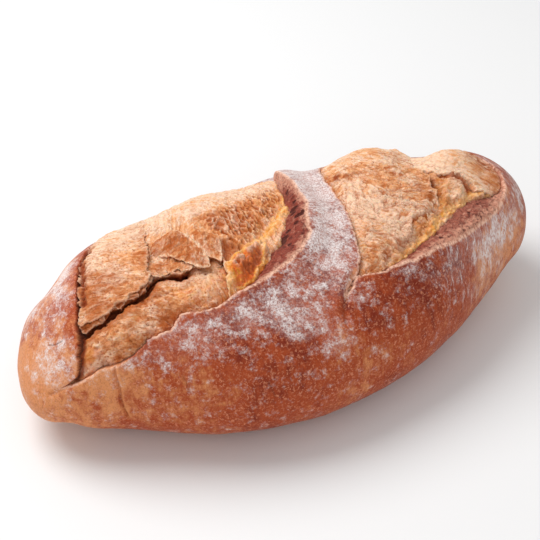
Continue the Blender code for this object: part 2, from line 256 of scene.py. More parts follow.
# The sheets of crumb: name, edge, kind, grid spacing, how far the edge folds under, and how far in.
FIRST_SHEETS = (
    ("lower_roll", "lower", "lower", 0.0007, 0.004, 0.0),
    ("ear_layer", "ear", "ear", 0.0005, 0.005, 0.002),
    ("left_ledge", "ledge", "ledge", 0.0004, 0.004, 0.0015),
    ("left_layer", "left", "left", 0.0005, 0.005, 0.002),
)
SECOND_SHEETS = (
    ("hollow_crumb", "hollow", "hollow", 0.0006, 0.004, 0.0),
    ("dome_layer", "dome", "dome", 0.0005, 0.004, 0.0015),
    ("bump_layer", "bump", "bump", 0.0005, 0.0024, 0.0),
)
# Thin flakes over the layers: the outline, the line along which each holds on, its rise, its browning.
FLAKES = (
    (
        (
            (-0.0735, 5), (-0.0725, 10), (-0.0689, 13), (-0.0604, 14), (-0.053, 10), (-0.0505, 1),
            (-0.0505, -7), (-0.052, -13), (-0.054, -14), (-0.0575, -13), (-0.0609, -10), (-0.0629, -7),
            (-0.0669, -2), (-0.069, 2),
        ),
        ((-0.0735, 4), (-0.073, 10), (-0.07, 13), (-0.064, 15)),
        0.0022,
        0.6,
    ),
    (
        (
            (-0.0772, 4), (-0.073, 3), (-0.068, 0), (-0.064, -4), (-0.0612, -8), (-0.06, -11),
            (-0.0639, -12), (-0.0679, -9), (-0.0714, -9), (-0.0779, -9), (-0.08, -6), (-0.0795, 0),
        ),
        ((-0.079, 4), (-0.07, 4), (-0.062, -2)),
        0.0008,
        0.45,
    ),
    (
        (
            (-0.048, 10), (-0.043, 10), (-0.0391, 6), (-0.0376, 0), (-0.0405, -6), (-0.045, -12),
            (-0.0475, -10), (-0.05, -7), (-0.05, 2),
        ),
        ((-0.05, 10), (-0.043, 12), (-0.038, 9)),
        0.001,
        0.55,
    ),
)

# Flour: station, roll, density, reach. FLOUR_HAZE lies everywhere.
FLOUR_PATCHES = (
    (0.03, 26, 1.0, 0.016), (0.028, 6, 0.8, 0.015), (0.022, -10, 0.72, 0.014), (0.0, -20, 0.34, 0.009),
    (0.005, -33, 0.26, 0.008), (-0.108, -50, 0.22, 0.008), (-0.04, -57, -0.22, 0.01),
    (0.013, -44, 0.12, 0.006), (0.0435, -45, 0.26, 0.008), (0.07, -62, 0.24, 0.012),
    (0.104, -69, 0.24, 0.014), (-0.013, -63, 0.2, 0.006), (-0.111, 48, 0.5, 0.009),
    (-0.1135, 34, 0.8, 0.01), (0.01, -16, 0.4, 0.008), (0.012, -24, 0.56, 0.013), (0.0, -36, 0.32, 0.011),
    (-0.014, -27, 0.32, 0.008), (-0.022, -33, 0.28, 0.01), (-0.035, -35, 0.42, 0.01),
    (-0.051, -37, 0.42, 0.009), (-0.065, -39, 0.28, 0.008), (-0.077, -43, 0.28, 0.008),
    (-0.086, -49, 0.14, 0.008), (-0.07, -50, 0.22, 0.006), (-0.028, -45, 0.16, 0.007),
    (-0.075, -41, 0.16, 0.007), (-0.145, -20, 0.22, 0.008), (-0.097, -53, 0.26, 0.008),
    (-0.051, -46, 0.18, 0.009), (-0.035, -44, 0.32, 0.009), (-0.028, -51, 0.28, 0.008),
    (-0.013, -61, 0.28, 0.005), (-0.018, -45, 0.32, 0.009), (-0.003, -62, 0.34, 0.004),
    (0.008, -56, 0.14, 0.008), (-0.03, -47, 0.26, 0.008), (-0.01, -53, 0.22, 0.008),
    (-0.1385, -42, 0.5, 0.009), (-0.13, -42, 0.36, 0.005), (-0.13, -22, 0.5, 0.0045),
    (-0.1385, -16, 0.5, 0.007), (-0.133, 5, 0.34, 0.007), (-0.137, 40, 0.32, 0.01),
    (-0.122, 10, 0.44, 0.01), (-0.12, 30, 0.46, 0.01), (-0.127, 45, 0.56, 0.01), (0.02, -52, 0.16, 0.01),
    (0.02, -64, -0.16, 0.014), (0.04, -72, -0.2, 0.018), (0.07, -50, 0.24, 0.008), (0.086, -51, 0.38, 0.01),
    (0.03, -53, -0.3, 0.008), (0.1, -56, 0.4, 0.011), (0.112, -62, 0.36, 0.013), (0.126, -54, 0.32, 0.014),
    (0.095, -80, 0.26, 0.016), (0.138, -45, 0.26, 0.014), (0.14, 0, 0.3, 0.016), (0.026, 40, 0.5, 0.012),
    (-0.118, -58, 0.26, 0.008), (0.03, 52, 0.7, 0.022), (-0.055, -60, 0.04, 0.01),
    (-0.085, -62, 0.16, 0.007), (0.06, -70, 0.06, 0.014), (0.054, -55, 0.24, 0.008),
    (0.036, 10, 0.4, 0.008), (-0.02, 75, 0.42, 0.018), (0.06, 72, 0.42, 0.02), (-0.08, 76, 0.36, 0.018),
    (0.105, 70, 0.36, 0.018), (-0.05, 95, 0.28, 0.018), (0.02, 100, 0.28, 0.02),
)
FLOUR_HAZE = 0.03
# Where the crust is baked darker (+) or paler (-) than around: station, roll, amount, reach.
TOAST_PATCHES = (
    (-0.113, -60, -0.45, 0.012), (-0.104, -76, -0.2, 0.016), (-0.092, -60, -0.3, 0.012),
    (-0.085, -86, -0.25, 0.016), (0.01, -78, -0.32, 0.012), (0.036, -88, -0.12, 0.014),
    (-0.035, -58, 0.16, 0.014), (-0.012, -66, -0.16, 0.012), (0.033, -50, 0.25, 0.012),
    (0.12, -40, -0.35, 0.02), (0.09, -74, -0.25, 0.02), (-0.124, 0, 0.12, 0.014), (-0.114, 32, -0.5, 0.014),
    (-0.005, -56, -0.5, 0.009), (-0.001, -67, -0.3, 0.01), (-0.122, -58, -0.5, 0.01),
    (-0.146, -12, -0.4, 0.014), (0.104, -75, -0.3, 0.016), (-0.002, -100, -0.5, 0.014),
    (-0.106, 48, -0.6, 0.012),
)

# The camera's angles, its distance from the point it looks at, that point, and what the lights face.
CAMERA_TURN, CAMERA_TILT = math.radians(-30), math.radians(38.5)
CAMERA_DISTANCE = 0.85
CAMERA_LENS = 106.84
AIM_HEIGHT = 0.045
AIM_SHIFT = (-0.0066, 0.00236)
LIT_POINT = (0, 0, 0.04)


def metres(name, description, default):
    return FloatProperty(name=name, description=description, default=default, unit="LENGTH")


def colour(name, description, default):
    return FloatVectorProperty(
        name=name, description=description, default=default, subtype="COLOR", size=3, min=0, max=1
    )


def watts(name, description, default):
    return FloatProperty(name=name, description=description, default=default, unit="POWER")


class LoafForm(bpy.types.PropertyGroup):
    """Sizes of the loaf."""

    length: metres("Length", "Length of the loaf", 0.300)
    width: metres("Width", "Width that its shares are of", 0.150)
    height: metres("Height", "Height that its shares are of", 0.090)
    flank_height: metres("Flank height", "Height of its widest line", 0.034)
    belly_depth: metres("Belly depth", "Reach of the underside below that line", 0.041)


class LoafColours(bpy.types.PropertyGroup):
    """Colours of the crust, the flour and the crumb."""

    crust_pale: colour("Pale crust", "Crust where it is baked least", (0.68, 0.265, 0.100))
    crust_brown: colour("Brown crust", "Crust over most of the loaf", (0.38, 0.062, 0.016))
    crust_dark: colour("Dark crust", "Crust where it is baked most", (0.20, 0.022, 0.008))
    crust_fleck: colour("Crust flecks", "Fine blisters on the crust", (0.78, 0.31, 0.17))
    rim_pale: colour("Rim", "Thin edge of the crust along the cuts", (0.88, 0.54, 0.39))
    wall_dark: colour("Inner wall", "Inner wall of the raised crust", (0.29, 0.053, 0.032))
    wall_rose: colour("Upper inner wall", "Inner wall just under its rim", (0.63, 0.285, 0.190))
    # Painted shade in the inner walls' pits and in the crust's cracks.
    pit_and_crack_shade: colour("Wall pits", "Holes in the inner wall", (0.090, 0.018, 0.013))
    flour: colour("Flour", "Flour dusted on the crust", (0.83, 0.745, 0.725))
    # Also the painted highlight along the torn edges.
    crumb_pale_and_highlight: colour("Pale crumb", "Crumb on the layers' tops", (0.93, 0.655, 0.465))
    crumb_mid: colour("Crumb", "Crumb over most of the layers", (0.84, 0.42, 0.20))
    crumb_tan: colour("Tan crumb", "Crumb between its flakes", (0.62, 0.225, 0.078))
    # Also painted shade: on the dome's lower side and under its leaf, on the lower roll's front, on the
    # ledge and along torn edges.
    crumb_browning_and_shade: colour("Browned crumb", "Crumb where it is baked most", (0.46, 0.125, 0.034))
    crumb_gold: colour("Golden crumb", "Fresh tears at the foot of the crust", (0.82, 0.34, 0.046))
    crumb_orange: colour("Orange crumb", "Shaded side of the fresh tears", (0.74, 0.165, 0.036))
    crumb_straw: colour("Straw crumb", "Lightest strands of the fresh tears", (0.93, 0.53, 0.225))
    # Painted shade in the crumb's hollows, crevices and pores, with a few dark marks of its own.
    crumb_shade_and_dark_marks: colour("Crumb hollows", "Hollows between the crumb's threads", (0.42, 0.100, 0.024))
    # Painted shade in cracks, gaps and under folded edges, and the lump core's own dark red.
    crumb_deep_shade_and_dark: colour("Deep crumb", "Cracks and pits in the crumb", (0.28, 0.052, 0.019))


class LoafStudio(bpy.types.PropertyGroup):
    """The floor and the light."""

    floor: colour("Floor", "Colour of the floor", (0.86, 0.86, 0.86))
    key_power: watts("Key light", "Power of the light over the loaf", 9.0)
    fill_power: watts("Fill light", "Power of the light at the camera", 3.0)
    sky: FloatProperty(name="Room light", description="Strength of the even light of the room", default=0.55)


# ---------------------------------------------------------------- form


def smooth_value(shares, station):
    """A smooth curve through the shares given at STATIONS, read at each station."""
    knots, values = np.array(STATIONS), np.array(shares)
    slopes = np.gradient(values, knots)
    left = np.clip(np.searchsorted(knots, station, side="right") - 1, 0, len(knots) - 2)
    span = knots[left + 1] - knots[left]
    s = (station - knots[left]) / span
    return (
        (1 + 2 * s) * (1 - s) ** 2 * values[left]
        + s * (1 - s) ** 2 * span * slopes[left]
        + s**2 * (3 - 2 * s) * values[left + 1]
        + s**2 * (s - 1) * span * slopes[left + 1]
    )


def body_points(x, roll):
    """Points of the plain loaf, before its cuts: a squared ellipse at each station."""
    form = bpy.context.scene.loaf_form
    station = np.clip(2 * x / form.length, -1, 1)
    taper = np.sqrt(1 - station**2)
    across, up = np.sin(np.radians(roll)), np.cos(np.radians(roll))
    above = up >= 0
    square = np.where(above, UPPER_SQUARENESS, LOWER_SQUARENESS)
    reach = (np.abs(across) ** square + np.abs(up) ** square) ** (-1 / square)
    shares = np.where(across < 0, smooth_value(NEAR_SHARES, station), smooth_value(FAR_SHARES, station))
    crest = (form.height - form.flank_height) * taper * smooth_value(CREST_SHARES, station)
    belly = form.belly_depth * taper**BELLY_TAPER
    y = form.width / 2 * taper * shares * across * reach
    z = form.flank_height * smooth_value(FLANK_SHARES, station) + np.where(above, crest, belly) * up * reach
    return np.stack([x, y, z], axis=-1)


def outward(x, roll):
    """The plain loaf's outward normals, from its slopes along and round it."""
    length = bpy.context.scene.loaf_form.length
    small_step, small_turn = length * 1e-4, 0.05
    inner = np.clip(x, -0.4995 * length, 0.4995 * length)
    along = body_points(inner + small_step, roll) - body_points(inner - small_step, roll)
    around = body_points(inner, roll + small_turn) - body_points(inner, roll - small_turn)
    normal = np.cross(along, around)
    return normal / np.linalg.norm(normal, axis=-1, keepdims=True)


def smooth_line(rows, closed=False, steps=6):
    """A finer line through the rows, by Catmull-Rom, each row's last values going along with it."""
    rows = np.array(rows, float)
    ends = (rows[-1:], rows[:2]) if closed else (rows[:1], rows[-1:])
    padded = np.concatenate([ends[0], rows, ends[1]])
    before, start, end, after = padded[:-3, None], padded[1:-2, None], padded[2:-1, None], padded[3:, None]
    s = (np.arange(steps) / steps)[None, :, None]
    line = 0.5 * (
        2 * start
        + (end - before) * s
        + (2 * before - 5 * start + 4 * end - after) * s**2
        + (3 * start - before - 3 * end + after) * s**3
    )
    line = line.reshape(-1, rows.shape[1])
    return np.concatenate([line, line[:1] if closed else rows[-1:]])


def wandering(places, spacing, seed, octaves=3):
    """Smooth uneven values, mostly from -1 to 1, one for each place."""
    shift = Vector((seed, 2.3 * seed, -1.7 * seed))
    return np.array([noise.fractal(Vector(p) + shift, 1.0, 2.0, octaves) for p in places / spacing])


def ragged(line, amount, spacing, seed):
    """The line with an uneven edge: each point strays by about amount, in metres."""
    places = body_points(line[:, 0], line[:, 1])
    strayed = line.copy()
    strayed[:, 0] += amount * wandering(places, spacing, seed)
    strayed[:, 1] += np.degrees(amount / 0.07) * wandering(places, spacing, seed + 9)
    strayed[-1] = strayed[0]
    return strayed


def nearest(line, places):
    """Each place's distance to a line of (station, roll, values...) rows, and the values there."""
    points = body_points(line[:, 0], line[:, 1])
    distance = np.full(len(places), np.inf)
    values = np.zeros((len(places), line.shape[1]))
    for start, end, row, next_row in zip(points[:-1], points[1:], line[:-1], line[1:]):
        along = end - start
        offset = places - start
        share = np.clip(offset @ along / max(along @ along, 1e-12), 0, 1)
        offset -= share[:, None] * along
        gap = np.einsum("ij,ij->i", offset, offset)
        closer = gap < distance
        distance[closer] = gap[closer]
        values[closer] = row + share[closer, None] * (next_row - row)
    return np.sqrt(distance), values


def inside(loop, x, roll):
    """Whether each place lies inside a closed loop of (station, roll) rows."""
    found = np.zeros(len(x), bool)
    for (x0, r0), (x1, r1) in zip(loop[:-1, :2], loop[1:, :2]):
        if r0 != r1:
            crosses = (r0 > roll) != (r1 > roll)
            found ^= crosses & (x < x0 + (roll - r0) * (x1 - x0) / (r1 - r0))
    return found


def rise(gap, reach):
    return np.exp(-((gap / reach) ** 2))


def fall(share):
    """A smooth step from 0 to 1."""
    s = np.clip(share, 0, 1)
    return s * s * (3 - 2 * s)


def line_gap(rows, places):
    """Distance to a line of (station, roll) rows."""
    return nearest(smooth_line(rows), places)[0]


def folds(rows, places):
    return sum(height * rise(line_gap(line, places), width) for height, width, line in rows)


def swellings(rows, places):
    total = np.zeros(len(places))
    for x, roll, height, reach in rows:
        centre = body_points(np.array(x), np.array(roll))
        total += height * rise(np.linalg.norm(places - centre, axis=1), reach)
    return total


def rim_line(rows):
    """A cut's rim, crumbly where it is low and smoother where it stands up."""
    rows = [row + (THIN_WALL, 0.0)[len(row) - 3 :] for row in rows]
    line = ragged(smooth_line(rows, closed=True, steps=8), 0.0007, 0.004, 5)
    low = fall((0.0035 - line[:, 3:4]) / 0.002)
    line[:, :2] += low * (ragged(line, 0.0007, 0.0017, 6) - line)[:, :2]
    return line


def rim_side(rim, x, roll, places):
    """Distance to a closed line, positive inside it, and the line's own values there."""
    gap, values = nearest(rim, places)
    return np.where(inside(rim, x, roll), gap, -gap), values


# ---------------------------------------------------------------- making meshes


def deselect_all():
    if bpy.context.object and bpy.context.object.mode != "OBJECT":
        bpy.ops.object.mode_set(mode="OBJECT")
    bpy.ops.object.select_all(action="DESELECT")


def read_points(mesh):
    points = np.empty(len(mesh.vertices) * 3, np.float32)
    mesh.vertices.foreach_get("co", points)
    return points.reshape(-1, 3).astype(float)


def write_points(mesh, points):
    mesh.vertices.foreach_set("co", points.astype(np.float32).ravel())
    mesh.update()


def write_value(mesh, name, values):
    values = np.asarray(values, np.float32)
    kind, key = ("FLOAT_VECTOR", "vector") if values.ndim == 2 else ("FLOAT", "value")
    mesh.attributes.new(name, kind, "POINT").data.foreach_set(key, values.ravel())


def select_faces(mesh, chosen):
    """Leaves just the chosen faces selected, and opens edit mode on them."""
    mesh.vertices.foreach_set("select", np.zeros(len(mesh.vertices), bool))
    mesh.edges.foreach_set("select", np.zeros(len(mesh.edges), bool))
    mesh.polygons.foreach_set("select", chosen)
    bpy.context.tool_settings.mesh_select_mode = (False, False, True)
    bpy.ops.object.mode_set(mode="EDIT")


def face_values(mesh, values):
    """The largest of the values at each face's corners."""
    corners = np.empty(len(mesh.loops), np.int32)
    mesh.loops.foreach_get("vertex_index", corners)
    starts = np.empty(len(mesh.polygons), np.int32)
    mesh.polygons.foreach_get("loop_start", starts)
    return np.maximum.reduceat(values[corners], starts)


def unrolled_grid(name, x_range, roll_range, columns, rows):
    """A flat grid whose X is the station and whose Y is the roll, in thousandths of a degree."""
    deselect_all()
    bpy.ops.mesh.primitive_grid_add(x_subdivisions=columns, y_subdivisions=rows, size=2)
    sheet = bpy.context.object
    sheet.name = name
    points = read_points(sheet.data)
    points[:, 0] = np.interp(points[:, 0], (-1, 1), x_range)
    points[:, 1] = np.interp(points[:, 1], (-1, 1), roll_range) * MM
    write_points(sheet.data, points)
    return sheet


def unrolled(mesh):
    points = read_points(mesh)
    return points[:, 0], points[:, 1] / MM


def finish_piece(piece, material):
    deselect_all()
    bpy.context.view_layer.objects.active = piece
    piece.select_set(True)
    bpy.ops.object.mode_set(mode="EDIT")
    bpy.ops.mesh.select_all(action="SELECT")
    bpy.ops.mesh.normals_make_consistent(inside=False)
    bpy.ops.object.mode_set(mode="OBJECT")
    bpy.ops.object.shade_smooth()
    piece.data.materials.clear()
    piece.data.materials.append(material)
    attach(piece, "root")
    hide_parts("loaf")
    return piece


def set_on_loaf(mesh, points):
    points = points.copy()
    points[:, :2] += CENTRE_OFFSET
    points[:, 2] = np.maximum(points[:, 2], 0)
    write_points(mesh, points)


def flow(places, first):
    """Places along and across the crumb's fibres, in millimetres, a little crooked."""
    x, y = places[:, 0] / MM, places[:, 1] / MM
    along, across = 0.866 * x - 0.5 * y, 0.5 * x + 0.866 * y
    if first:
        share = fall((x + 72) / 45)
        along, across = along * (1 - share) - y * share, across * (1 - share) + x * share
    else:
        along, across = 0.75 * x - 0.66 * y, 0.66 * x + 0.75 * y
        along = along + 4.0 * wandering(places, 0.018, 53, 1)
        across = across + 5.0 * wandering(places, 0.020, 55, 1)
    along = along + 1.8 * wandering(places, 0.009, 51, 2)
    across = across + 1.2 * wandering(places, 0.006, 57, 2)
    return along, across


def scattered(first, second, seed):
    """Even random numbers from 0 to 1, fixed for each pair of whole numbers."""
    mixed = np.sin(first * 127.1 + second * 311.7 + seed * 74.7) * 43758.5453
    return mixed - np.floor(mixed)


def scales(along, across, length, width, seed):
    """Uneven cells stretched along the fibres.

    Gives how far each place is from its cell's edge, the cell's own random number, the place's way
    across the cell and its distance from the cell's middle, in shares of the cell.
    """
    u, v = along / length, across / width
    nearest_one, next_one = np.full(len(u), 9.0), np.full(len(u), 9.0)
    own, lean = np.zeros(len(u)), np.zeros(len(u))
    for du in (-1, 0, 1):
        for dv in (-1, 0, 1):
            column, row = np.floor(u) + du, np.floor(v) + dv
            ahead = u - column - 0.5 - 0.9 * (scattered(column, row, seed) - 0.5)
            aside = v - row - 0.5 - 0.9 * (scattered(column, row, seed + 1) - 0.5)
            distance = np.hypot(ahead, aside)
            closer = distance < nearest_one
            next_one = np.where(closer, nearest_one, np.minimum(next_one, distance))
            own = np.where(closer, scattered(column, row, seed + 2), own)
            lean = np.where(closer, aside, lean)
            nearest_one = np.where(closer, distance, nearest_one)
    return next_one - nearest_one, own, lean, nearest_one


# ---------------------------------------------------------------- the crumb

LAYERS = {}
FIRST_CRUMB = ("lower", "left", "ledge", "ear")
# How strongly each part of the crumb is flaked, grained and pierced with small pores.
FLAKINESS = {"lower": 0.4, "left": 0.8, "ledge": 1.2, "ear": 0.9, "hollow": 1.0, "dome": 1.1, "bump": 0.35}
GRAININESS = {"lower": 0.6, "left": 0.6, "ledge": 1.0, "ear": 0.6, "hollow": 0.8, "dome": 0.4, "bump": 0.4}
PORES = {"lower": 1.0, "left": 0.7, "ledge": 0.2, "ear": 0.4, "hollow": 0.2, "dome": 0.5, "bump": 0.2}
# Of these, the two dark shares are mostly painted shade, the brown share is partly painted shade, and pale
# holds some painted highlights.
COLOUR_SHARES = ("gold", "browning_and_shade", "deep_shade_and_dark", "pale", "shade_and_dark_marks", "ember")


class Spots:
    """The places on the loaf at which a piece of crumb is worked out."""

    def __init__(self, x, roll, places, first):
        self.x, self.roll, self.places = x, roll, places
        self.along, self.across = flow(places, first)
        self.rough = self.stray(0.009, 1)

    def stray(self, spacing, seed, octaves=3):
        return wandering(self.places, spacing, seed, octaves)

    def near(self, rows, reach):
        """1 on a line of (station, roll) rows, and less and less away from it."""
        return rise(line_gap(rows, self.places), reach)

    def side(self, name):
        """Distance inside one of the torn edges or rims, negative outside it."""
        return rim_side(LAYERS[name], self.x, self.roll, self.places)[0]

    def within(self, rows):
        """Distance inside a closed outline of (station, roll) rows, negative outside it."""
        return rim_side(smooth_line(rows, closed=True), self.x, self.roll, self.places)[0]


def lower_relief(at, look):
    """The lower roll: it runs under the torn layers, and its front is drawn into threads."""
    x, places = at.x, at.places
    closed = 0.0035 * fall((x + 0.066) / 0.008)
    under = np.maximum.reduce((at.side("left"), at.side("ledge"), at.side("ear") - closed))
    under += 0.0019 * at.stray(0.0065, 14) + 0.0004
    own, middle = scales(places[:, 0] / MM, places[:, 1] / MM, 3.4, 2.6, 61)[1::2]
    pore = (own > 0.60) * (1 - fall(middle / (0.16 + 0.3 * scattered(own, own, 5))))
    pits = at.near(LOWER_PITS, 0.0035) * fall((at.stray(0.003, 15) - 0.05) / 0.3)
    front = fall((at.within(LOWER_FRONT) + 0.002) / 0.004)
    valley = at.near(LOWER_FOLDS[1][2], 0.0019)
    # Painted shade in the gap under the torn layers, in the valley, faintly in the pores, and in the pits.
    look["deep_shade_and_dark"] = np.maximum.reduce((fall((under + 0.0022) / 0.002), 0.25 * pore, valley))
    look["shade_and_dark_marks"] = np.maximum.reduce((0.6 * pore, pits, 0.9 * rise(np.minimum(under + 0.0026, 0), 0.0026)))
    # Browner at the front, partly its browning and partly painted shade on the front face.
    look["browning_and_shade"] = 0.40 - 0.30 * fall((x + 0.088) / 0.02) + 0.30 * at.rough + 0.45 * front
    look["pale"] = 0.5 * at.near(LOWER_PALE, 0.0042) + 1.2 * at.near(LOWER_START, 0.004)
    look["pale"] += 0.35 * fall((x + 0.082) / 0.02)
    look["gold"] = 0.26 * at.near(LOWER_GOLD, 0.007) + 0.22 * fall((at.stray(0.007, 71) - 0.10) / 0.4)
    look["ember"] = 0.4 + 0 * x
    relief = -0.0024 + folds(LOWER_FOLDS, places) - 0.0070 * fall((under + 0.0030) / 0.0038)
    relief += 0.0006 * at.stray(0.01, 18) + 0.0007 * at.stray(0.004, 12)
    relief -= 0.0008 * pore + 0.0014 * pits
    return relief + 0.0006 * front * wandering(places * (1.0, 0.25, 0.25), 0.0013, 16, 2)


def left_relief(at, look):
    """The floury layer at the left end, with the crumbly seam along its lip."""
    x, roll = at.x, at.roll
    seam = rise(np.maximum(line_gap(LEFT_SEAM, at.places) + 0.0018 * at.stray(0.0026, 33), 0), 0.0014)
    torn_edge_shade = rise(at.side("left"), 0.0045) * fall((x + 0.1) / 0.015)
    far_left = fall((-0.088 - x) / 0.025) * (1 - 0.6 * fall(roll / 15))
    # Painted shade along its torn edge beside the crack; browner towards its lower left.
    look["browning_and_shade"] = 0.20 + 0.35 * at.rough + 0.38 * far_left + 0.25 * torn_edge_shade
    # Paler towards its top, partly a painted highlight.
    look["pale"] = 0.15 + 0.75 * fall((roll - 2) / 26)
    # The seam's hollows are painted dark as shade.
    look["shade_and_dark_marks"] = seam
    look["deep_shade_and_dark"] = 0.85 * seam
    return 0.0004 - 0.0024 * seam


def ledge_relief(at, look):
    """The brown ledge that shows below the left layer's torn edge, partly browned and partly painted shade
    under that edge.
    """
    look["browning_and_shade"] = 0.80 + 0.4 * at.rough
    return 0.0008 * at.stray(0.003, 83) - 0.0012


def ear_relief(at, look):
    """The ear: a comb of torn threads, a golden strand along its valley, and the lump at its foot."""
    x, roll, places = at.x, at.roll, at.places
    strand_gap, strand_at = nearest(smooth_line(EAR_STRANDS), places)
    outer = fall(((x - strand_at[:, 0]) - 0.0012 * (roll - strand_at[:, 1])) / 0.0024)
    lump = outer * (1 - fall((x + 0.0235) / 0.005)) * fall((x + 0.047) / 0.004)
    lump_edge = at.near(LUMP_EDGE, 0.0011)
    twist = at.stray(0.0028, 21)
    strand = rise(strand_gap, 0.0036)
    fresh = np.maximum(rise(strand_gap, 0.0021), 0.9 * outer * rise(strand_gap, 0.0042) * (1 - lump))
    top = at.near(LUMP_TOP, 0.002) * fall((twist + 0.5) / 0.4)
    core = lump * at.near(LUMP_CORE, 0.0038) * (1 - lump_edge)
    tip = at.near(LUMP_TIP, 0.0026)
    comb = 0.18 + 0.82 * fall((at.within(COMB) + 0.005) / 0.009)
    comb *= (1 - 0.9 * np.maximum(fresh, lump)) * fall((0.052 + x) / 0.02)
    edge, own = scales(at.along, at.across, 5.2, 2.2, 2)[:2]
    hole = fall((edge - 0.08) / 0.26) * fall((own - 0.14) / 0.1)
    hollow = fall((at.within(EAR_HOLLOW) + 0.001 * twist + 0.0006) / 0.003)
    bright = np.maximum(fresh * fall((twist + 0.85) / 0.5), 0.9 * lump_edge * fall((x + 0.046) / 0.004))
    golden_lump = 0.92 * lump * (1 - 0.25 * core)
    torn = rise(np.maximum(at.side("ear"), 0), 0.006) * (1 - fall((x + 0.055) / 0.01))
    far_side = fall((roll - 16 + 8 * fall((-0.03 - x) / 0.015)) / 18)
    # Painted shade in the comb's holes and in the hollow.
    look["shade_and_dark_marks"] = np.maximum(1.15 * comb * hole, 0.95 * hollow * fall(0.7 - twist))
    look["ember"] = (0.9 * lump + 1.9 * core) * (1 - lump_edge) - 0.55 * fresh - 0.9 * tip - 0.6 * lump_edge
    # The hollow is painted dark as shade; the lump's core is its own dark red.
    look["deep_shade_and_dark"] = np.maximum(0.40 * hollow, 0.85 * core * fall((0.55 - twist) / 0.5))
    look["gold"] = np.maximum.reduce((bright, 0.20 * rise(strand_gap, 0.008), golden_lump, tip))
    look["gold"] *= 1 - 0.8 * top
    # The lump's own browning, with painted shade along the torn lower edge.
    look["browning_and_shade"] = lump * (0.40 + 0.6 * twist) * (1 - lump_edge) * (1 - top) + 0.5 * torn
    look["browning_and_shade"] += 0.42 * comb * (1 - 0.7 * fall((x + 0.01) / 0.012))
    # Paler towards the top, partly a painted highlight; painted highlights on the strand and on the lump's
    # top.
    look["pale"] = 0.10 + 0.74 * far_side + 0.6 * strand * fall((twist - 0.2) / 0.3) + 1.6 * top
    relief = swellings(EAR_SWELLS, places) - 0.0026 * (1 - fall((x + 0.0745) / 0.012))
    relief -= 0.0045 * at.near(EAR_VALLEY, 0.0085) * (1 - 0.75 * fall((roll - 14) / 22))
    relief += 0.0026 * at.near(EAR_LUMP, 0.0046) + 0.0012 * lump_edge * (1 + twist)
    relief += strand * (0.0007 + 0.0014 * twist) + 0.0012 * lump * twist
    relief += 0.0011 * top - 0.0009 * core + 0.0012 * outer * rise(strand_gap, 0.006)
    return relief + comb * (0.0004 - 0.0016 * hole) - 0.0030 * hollow


def hollow_relief(at, look):
    """The second cut's hollow, with its lump and ridge, and the gash under the bump."""
    twist = at.stray(0.0028, 23)
    lump = at.near(SECOND_LUMP, 0.0042)
    ridge = at.near(SECOND_RIDGE, 0.0028)
    hole = at.near(SECOND_HOLE, 0.0026)
    gash = at.near(GASH, 0.0024)
    gash_lip = at.near(GASH_LIP, 0.0022)
    strand = at.near(SECOND_STRANDS, 0.0032)
    golden_ridge = 0.55 * ridge * fall((twist + 0.5) / 0.6)
    gold = np.maximum.reduce((strand * fall((twist + 0.8) / 0.5), golden_ridge, 0.45 * gash_lip))
    look["gold"] = np.maximum(gold * (1 - 0.7 * lump), 0.26 * fall((at.stray(0.006, 27) + 0.1) / 0.4))
    # Painted highlights on the strand.
    look["pale"] = 0.42 + 0.9 * lump + 0.5 * strand * fall((twist - 0.2) / 0.3) + 0.6 * gash_lip
    # Painted shade in the hole and in the gash under the bump, which is painted browner as well.
    look["deep_shade_and_dark"] = np.maximum(0.55 * hole, 0.40 * gash)
    look["shade_and_dark_marks"] = np.maximum(hole, 0.9 * gash)
    look["browning_and_shade"] = 0.02 + 0.2 * at.rough + 0.8 * gash - 0.5 * lump
    look["ember"] = -1.2 * strand - 0.4 * gash_lip
    relief = -0.0012 + 0.0018 * at.stray(0.005, 41) + 0.0013 * rise(at.side("bump"), 0.0045)
    relief -= 0.0028 * at.near(SECOND_STRANDS, 0.006)
    relief += 0.0028 * lump + 0.0013 * ridge - 0.0038 * hole - 0.0020 * gash + 0.0018 * gash_lip
    return relief + strand * (0.0012 + 0.0016 * twist)


